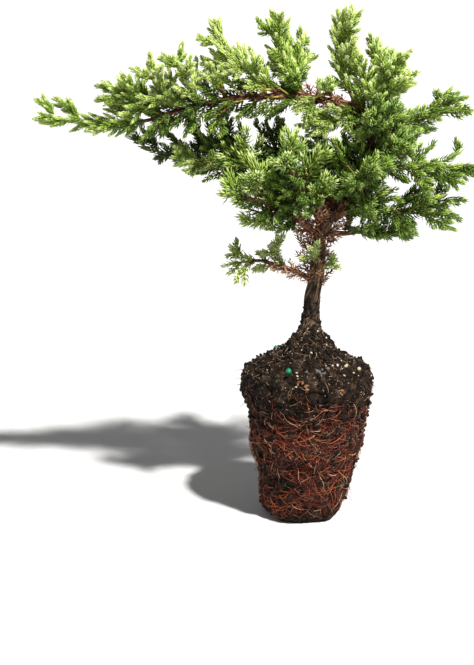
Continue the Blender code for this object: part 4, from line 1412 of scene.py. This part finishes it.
class Ball:
    """The root ball's surface as a grid of rows from the underside up, with relief, read at places."""

    def __init__(self):
        outline = np.array([(0.0, 0.0), *ball_outline(), *SOIL_ON_TRUNK])
        walked = np.concatenate([[0], np.cumsum(np.linalg.norm(np.diff(outline, axis=0), axis=1))])
        self.walked = np.arange(BALL_STEP, walked[-1], BALL_STEP)
        self.radius = np.interp(self.walked, walked, outline[:, 0])
        self.height = np.interp(self.walked, walked, outline[:, 1])
        course = np.array([place for place, _ in TRUNK_COURSE])
        self.middle = np.stack([np.interp(self.height, course[:, 2], course[:, k]) for k in (0, 1)], 1)
        self.middle *= np.clip((self.height - RIM_HEIGHT) / (SOIL_HEIGHT - RIM_HEIGHT), 0, 1)[:, None]
        size = (len(self.walked), BALL_COLUMNS)
        self.points = np.zeros((*size, 3))
        self.base = np.zeros((*size, 3))
        self.relief = np.zeros(size)
        for place in np.ndindex(size):
            self.form(*place)
        around = np.roll(self.base, -1, 1) - np.roll(self.base, 1, 1)
        normals = np.cross(around, np.gradient(self.base, axis=0))
        self.normals = normals / np.linalg.norm(normals, axis=2)[:, :, None]

    def form(self, row, column):
        """One place of the grid: smooth with its lumps, and rough with clods and crumbs as well."""
        angle = 2 * math.pi * column / BALL_COLUMNS
        radius, height = self.radius[row], self.height[row]
        around = Vector((math.cos(angle), math.sin(angle), 0))
        middle = Vector((*self.middle[row], height))
        place = around * radius + middle
        lump = LUMP * noise.noise(place * LUMP_SCALE)
        lump += LUMP * FINE_LUMP * noise.noise(place * FINE_LUMP_SCALE)
        worn = max(0.0, math.cos(angle + WORN_TURN)) * max(0.0, 1 - height / WORN_TO_HEIGHT)
        out = (lump - WORN_CORNER * worn) * min(1.0, radius / UNDERSIDE_RADIUS)
        out *= min(1.0, radius / SEAT_RADIUS)
        rise = 0.0 if height < RIM_HEIGHT else lump * FINE_LUMP
        self.base[row, column] = middle + around * (radius + out) + UP * rise
        big = BIG_CLOD_LEVEL - noise.voronoi(place * BIG_CLOD_SCALE)[0][0]
        clod = CLOD_LEVEL - noise.voronoi(place * CLOD_SCALE)[0][0]
        clod += BIG_CLOD * big * min(1.0, radius / SEAT_RADIUS - BIG_CLODS_FROM)
        crumb = noise.noise(place * CRUMB_SCALE) + FINE_CRUMB * noise.noise(place * FINE_CRUMB_SCALE)
        if height >= FLAT_BELOW:
            fine = CLOD_HEIGHT * clod + CRUMB_HEIGHT * crumb
            outwards, upwards = ROUGH_SIDE if height < RIM_HEIGHT else ROUGH_HEAP
            out += fine * outwards
            rise += fine * upwards
        self.points[row, column] = middle + around * (radius + out) + UP * max(-height, rise)
        self.relief[row, column] = 0.5 + CLOD_RELIEF * clod + CRUMB_RELIEF * crumb

    def read(self, turn, walked):
        """Smooth places, normals and rough places, at turns and at lengths up the outline."""
        column = (np.asarray(turn) / (2 * math.pi) * BALL_COLUMNS) % BALL_COLUMNS
        rows = len(self.walked)
        row = np.clip(np.interp(walked, self.walked, np.arange(rows)), 0, rows - 1.001)
        i, j = column.astype(int), row.astype(int)
        u, v = (column - i)[:, None], (row - j)[:, None]
        found = []
        for grid in (self.base, self.normals, self.points):
            low = grid[j, i] * (1 - u) + grid[j, (i + 1) % BALL_COLUMNS] * u
            high = grid[j + 1, i] * (1 - u) + grid[j + 1, (i + 1) % BALL_COLUMNS] * u
            found.append(low * (1 - v) + high * v)
        return found

    def walked_at(self, height):
        """How far up the outline that height is."""
        return float(np.interp(height, self.height, self.walked))

    def seen_at(self, across, up):
        """The surface place and normal seen from the front that far across and up."""
        rise = math.radians(CAMERA_RISE)
        seen_up = self.points[:, :, 2] * math.cos(rise) + self.points[:, :, 1] * math.sin(rise)
        front = self.normals[:, :, 2] * math.sin(rise) - self.normals[:, :, 1] * math.cos(rise)
        off = (self.points[:, :, 0] - across) ** 2 + (seen_up - up) ** 2
        off += np.where(front > FACES_VIEWER, 0, TURNED_AWAY)
        found = np.unravel_index(off.argmin(), off.shape)
        return self.points[found], self.normals[found]


def make_ball(ball):
    """The soil's surface, closed over the trunk's foot and under the flat underside."""
    ends = [ball.points[0].mean(0), ball.points[-1].mean(0)]
    ends[0][2] = 0.0
    shape = np.concatenate([ball.points.reshape(-1, 3), ends])
    look = by_relief("soil", SOIL_STOPS, SOIL_NOISE, SOIL)
    made = piece("soil", shape, tube_faces(*ball.relief.shape), [look])
    add_relief(made, np.concatenate([ball.relief.ravel(), [0, 0]]))
    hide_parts("root_ball")


def grain_shape():
    """The twelve corners of an icosahedron and its faces, wound outwards."""
    gold = (1 + 5**0.5) / 2
    corners = np.array([(a, b, 0) for a in (-1, 1) for b in (-gold, gold)])
    corners = np.concatenate([corners, np.roll(corners, 1, 1), np.roll(corners, 2, 1)])
    corners = corners / np.linalg.norm(corners[0])
    edge = np.sort(np.linalg.norm(corners - corners[0], axis=1))[1]
    faces = []
    for trio in combinations(range(len(corners)), 3):
        a, b, c = corners[list(trio)]
        if all(np.isclose(np.linalg.norm(side), edge) for side in (a - b, b - c, c - a)):
            out = np.cross(b - a, c - a).dot(a + b + c)
            faces.append(trio if out > 0 else (trio[0], trio[2], trio[1]))
    return corners, np.array(faces)


def turned(chance, count):
    """Random rotations as matrices, from random unit quaternions."""
    w, x, y, z = chance.normal(size=(count, 4)).T
    n = np.sqrt(w * w + x * x + y * y + z * z)
    w, x, y, z = w / n, x / n, y / n, z / n
    rows = [
        [1 - 2 * (y * y + z * z), 2 * (x * y - z * w), 2 * (x * z + y * w)],
        [2 * (x * y + z * w), 1 - 2 * (x * x + z * z), 2 * (y * z - x * w)],
        [2 * (x * z - y * w), 2 * (y * z + x * w), 1 - 2 * (x * x + y * y)],
    ]
    return np.moveaxis(np.array(rows), 2, 0)


def grains(places, sizes, chance, rough=GRAIN_ROUGH):
    """Irregular grains at the places."""
    corners, faces = GRAIN_SHAPE
    count = len(places)
    shape = corners[None] * (1 + chance.uniform(-rough, rough, (count, len(corners), 1)))
    longer = chance.uniform(*GRAIN_LENGTHS, count) * GRAIN_LONGER
    stretch = np.stack([longer, np.ones(count), chance.uniform(*GRAIN_DEPTHS, count)], 1)
    shape = shape * stretch[:, None] * sizes[:, None, None]
    shape = np.einsum("nij,nkj->nki", turned(chance, count), shape) + places[:, None]
    faces = faces[None] + np.arange(count)[:, None, None] * len(corners)
    return shape.reshape(-1, 3), faces.reshape(-1, 3)


def strewn(ball, kind, chance):
    """Grains of one kind all over the ball from its lowest height up."""
    start = ball.walked_at(kind.lowest)
    walked = chance.uniform(0, 1, kind.count) ** GRAINS_GATHER * (ball.walked[-1] - start) + start
    _, normals, places = ball.read(chance.uniform(0, 2 * math.pi, kind.count), walked)
    sizes = chance.uniform(kind.small, kind.large, kind.count)
    places = places + normals * (sizes * kind.rise)[:, None]
    places[:, 2] = np.maximum(places[:, 2], sizes * GRAIN_REACH)
    return grains(places, sizes, chance)


def make_grains(ball, plant, chance):
    """Crumbs, grit and perlite."""
    for name, kind in GRAINS.items():
        heap = Heap()
        heap.add(*strewn(ball, kind, chance))
        if name == "soil_crumbs":
            heap.add(*foot_crumbs(plant, chance))
        heap.piece(name, plain(name, kind.colour, kind.roughness, GRAIN_SHEEN), "soil")


def make_placed(ball, chance):
    """The single pebbles, lumps, clods and beads."""
    heaps = {kind: Heap() for kind in PLACED_LOOKS}
    for across, up, size, kind in PLACED:
        place, normal = ball.seen_at(across, up)
        if kind == "bead":
            shape = bead(place, normal, size)
        elif kind == "pebble":
            middle = place + normal * size * PEBBLE_RISE
            shape = grains(middle[None], np.array([size]), chance, PEBBLE_ROUGH)
        else:
            around = chance.normal(0, CLUSTER_SPREAD, (CLUSTER, 3)) * size
            around -= (around @ normal)[:, None] * normal * CLUSTER_FLATTER
            shape = grains(place + around, chance.uniform(*CLUSTER_SIZES, CLUSTER) * size, chance)
        heaps[kind].add(*shape)
    for turn, reach, size in BEADS_BEHIND:
        over = ball.walked[(ball.height > RIM_HEIGHT) & (ball.radius > reach)]
        _, (normal,), (place,) = ball.read([turn], [over[-1]])
        heaps["bead"].add(*bead(place, normal, size))
    for kind, (colour, roughness) in PLACED_LOOKS.items():
        heaps[kind].piece(f"soil_{kind}s", plain(f"soil_{kind}", colour, roughness), "soil")


def bead(place, normal, size):
    """A round bead of rings of triangles, partly sunk."""
    turns = np.linspace(-math.pi / 2, math.pi / 2, BEAD_RINGS + 2)[1:-1]
    centre = place + normal * size * BEAD_RISE
    points = [centre + np.array((0, 0, math.sin(t))) * size for t in turns]
    return tube(points, np.array([math.cos(t) for t in turns]) * size, BEAD_SIDES)


def foot_crumbs(plant, chance):
    """Soil that clings to the foot of the trunk, less of it higher up."""
    limb = plant.limbs["trunk"]
    axis = Axis(limb.points, "leader")
    along = chance.uniform(0, 1, FOOT_CRUMBS) ** FOOT_CRUMBS_GATHER * FOOT_CRUMBS_TO
    points, _, sides, crosses = axis.read(along)
    turn = chance.uniform(0, 2 * math.pi, FOOT_CRUMBS)
    outward = sides * np.cos(turn)[:, None] + crosses * np.sin(turn)[:, None]
    places = points + outward * at_shares(along / axis.length, limb.radii)[:, None] * FOOT_SHARE
    return grains(places, chance.uniform(*FOOT_CRUMB_SIZES, FOOT_CRUMBS), chance)


def root_start(root, fibre, chance):
    """A height and turn on the ball: anywhere for a fibre, mostly in the patches for a root."""
    while True:
        height = chance.uniform(root.low, root.high)
        turn = chance.uniform(0, 2 * math.pi)
        place = Vector((math.cos(turn) * RIM_RADIUS, math.sin(turn) * RIM_RADIUS, height))
        wanted = ROOTS_WANTED + PATCH_WANTED * noise.noise(place * ROOT_PATCH)
        wanted -= max(0, height - ROOTS_THIN_FROM) / ROOTS_THIN_OVER
        if fibre or chance.uniform(0, 1) < wanted:
            return height, turn


def root_line(ball, chance, root):
    """One root that wanders over the ball's side, mostly down and round."""
    length = chance.uniform(root.short, root.long)
    fibre = root.long < FIBRES_UNDER
    height, turn = root_start(root, fibre, chance)
    walked = ball.walked_at(height)
    lowest = ball.walked_at(LOWEST_ROOT)
    heading = chance.choice([-1, 1]) * chance.uniform(*ROOT_HEADINGS) - math.pi / 2
    if fibre:
        heading = chance.uniform(0, 2 * math.pi)
    curl = chance.normal(0, FIBRE_CURL if fibre else ROOT_CURL)
    turns, walks = [], []
    for _ in range(int(length / ROOT_STEP) + 3):
        turns.append(turn)
        walks.append(walked)
        radius = max(LEAST_TURNING, float(np.interp(walked, ball.walked, ball.radius)))
        turn += math.cos(heading) * ROOT_STEP / radius
        walked += math.sin(heading) * ROOT_STEP
        heading += curl + chance.normal(0, ROOT_WOBBLE)
        if walked < lowest:
            break
    base, normals, _ = ball.read(turns, walks)
    lift = chance.uniform(*ROOT_LIFT)
    lift = lift + ROOT_WEAVE * np.sin(np.arange(len(turns)) * ROOT_WAVE + chance.uniform(0, 6))
    lift = np.maximum(lift, ROOT_DEEPEST)
    lift[0] = lift[-1] = ROOT_END_DEPTH
    points = base + normals * lift[:, None]
    points[:, 2] = np.maximum(points[:, 2], ROOT_ABOVE_GROUND)
    return points


def make_roots(ball, chance):
    """Roots in four colours, and two kinds of fibre."""
    for name, root in ROOTS.items():
        heap = Heap()
        for _ in range(root.count):
            points = root_line(ball, chance, root)
            thick = chance.uniform(root.thin, root.thick)
            radii = at_shares(np.linspace(0, 1, len(points)), [thick, thick, thick * ROOT_TIP])
            heap.add(*tube(points, radii, ROOT_SIDES))
        heap.piece(name, plain(name, root.colour, ROOT_ROUGHNESS), "soil")


def make_hairs(ball, chance):
    """Loose dark root ends that stick out and droop."""
    heap = Heap()
    for number in range(HAIRS):
        if number % 2:
            height = chance.normal(RIM_HEIGHT - HAIRS_BELOW_RIM, HAIRS_ROUND_RIM)
        else:
            height = chance.uniform(HAIRS_FROM, RIM_HEIGHT)
        turn = chance.uniform(0, 2 * math.pi)
        _, (normal,), (place,) = ball.read([turn], [ball.walked_at(height)])
        aim = normal + chance.normal(0, HAIR_AIM_VARIES, 3)
        droop = chance.normal(0, HAIR_DROOP_VARIES, 3) - np.array(UP) * HAIR_DROOP
        along = np.linspace(HAIR_START, 1, HAIR_POINTS)[:, None] * chance.uniform(*HAIR_LENGTHS)
        points = place + aim / np.linalg.norm(aim) * along
        points = points + droop * along * np.abs(along) / HAIR_LENGTHS[1]
        points[:, 2] = np.maximum(points[:, 2], HAIR_ABOVE_GROUND)
        heap.add(*tube(points, np.linspace(1, HAIR_TIP, HAIR_POINTS) * HAIR_RADIUS, ROOT_SIDES))
    heap.piece("root_hairs", plain("root_hairs", HAIR_COLOUR, HAIR_ROUGHNESS), "soil")


def floor_profile():
    """Radii and heights along the floor: level, then a gentle rise, then a sweep up to a wall."""
    radius, height = LEVEL_RADIUS, 0.0
    found = [(radius, height)]
    course = [(SWEEP_STEP, RISE_ANGLE * i / RISE_STEPS) for i in range(1, RISE_STEPS)]
    course.append((RISE_LENGTH, RISE_ANGLE))
    course += [(SWEEP_STEP, angle) for angle in np.arange(RISE_ANGLE, 90, SWEEP_TURN)]
    for step, angle in course:
        radius += step * math.cos(math.radians(angle))
        height += step * math.sin(math.radians(angle))
        found.append((radius, height))
    return found


def make_stage():
    """A pale floor that rises a little far off and then sweeps up all round."""
    turns = np.arange(SWEEP_SIDES) * 2 * math.pi / SWEEP_SIDES
    x, y = np.cos(turns), np.sin(turns)
    rings = [np.stack([r * x, r * y, np.full(SWEEP_SIDES, h)], 1) for r, h in floor_profile()]
    points = np.concatenate([*rings, [[0, 0, 0]]])
    middle = len(points) - 1
    faces = [(i, (i + 1) % SWEEP_SIDES, middle) for i in range(SWEEP_SIDES)]
    for low in range(0, middle - SWEEP_SIDES, SWEEP_SIDES):
        for i in range(SWEEP_SIDES):
            j = (i + 1) % SWEEP_SIDES
            faces.append((low + i, low + SWEEP_SIDES + i, low + SWEEP_SIDES + j, low + j))
    mesh = bpy.data.meshes.new("studio_floor")
    mesh.from_pydata([tuple(p) for p in points], [], faces)
    mesh.shade_smooth()
    paper = Look("studio_paper", PAPER_COLOUR, PAPER_SHEEN)
    paper.shader.inputs["Roughness"].default_value = PAPER_ROUGHNESS
    mesh.materials.append(paper.made)
    floor = bpy.data.objects.new("studio_floor", mesh)
    bpy.context.scene.collection.objects.link(floor)


def make_light_and_camera():
    """A pale world, one soft sun and the camera at the photograph's viewing angle."""
    world = bpy.data.worlds.new("studio_world")
    world.use_nodes = True
    background = world.node_tree.nodes["Background"]
    background.inputs["Color"].default_value = (*WORLD_COLOUR, 1)
    background.inputs["Strength"].default_value = WORLD_STRENGTH
    bpy.context.scene.world = world
    key = bpy.data.lights.new("key", "SUN")
    key.energy = KEY_ENERGY
    key.color = KEY_COLOUR
    key.angle = math.radians(KEY_ANGLE)
    sun = bpy.data.objects.new("key", key)
    sun.rotation_euler = (-towards(*KEY_FROM)).to_track_quat("-Z", "Y").to_euler()
    bpy.context.scene.collection.objects.link(sun)
    camera = bpy.data.cameras.new("camera")
    camera.lens = CAMERA_LENS
    made = bpy.data.objects.new("camera", camera)
    rise = math.radians(CAMERA_RISE)
    back = Vector((0, -math.cos(rise), math.sin(rise)))
    made.location = Vector(CAMERA_AIM) + back * CAMERA_DISTANCE
    made.rotation_euler = (-back).to_track_quat("-Z", "Y").to_euler()
    bpy.context.scene.collection.objects.link(made)
    bpy.context.scene.camera = made
    bpy.context.scene.view_settings.view_transform = "Standard"


GRAIN_SHAPE = grain_shape()

plant = Plant()
dice = random.Random(SEED + 1)
chance = np.random.default_rng(SEED)
axes = grow_axes(plant, dice)
make_needles(plant, axes, chance)
make_stems(axes)
make_bark(plant)
ball = Ball()
make_ball(ball)
make_grains(ball, plant, chance)
make_placed(ball, chance)
make_roots(ball, chance)
make_hairs(ball, chance)
make_stage()
make_light_and_camera()
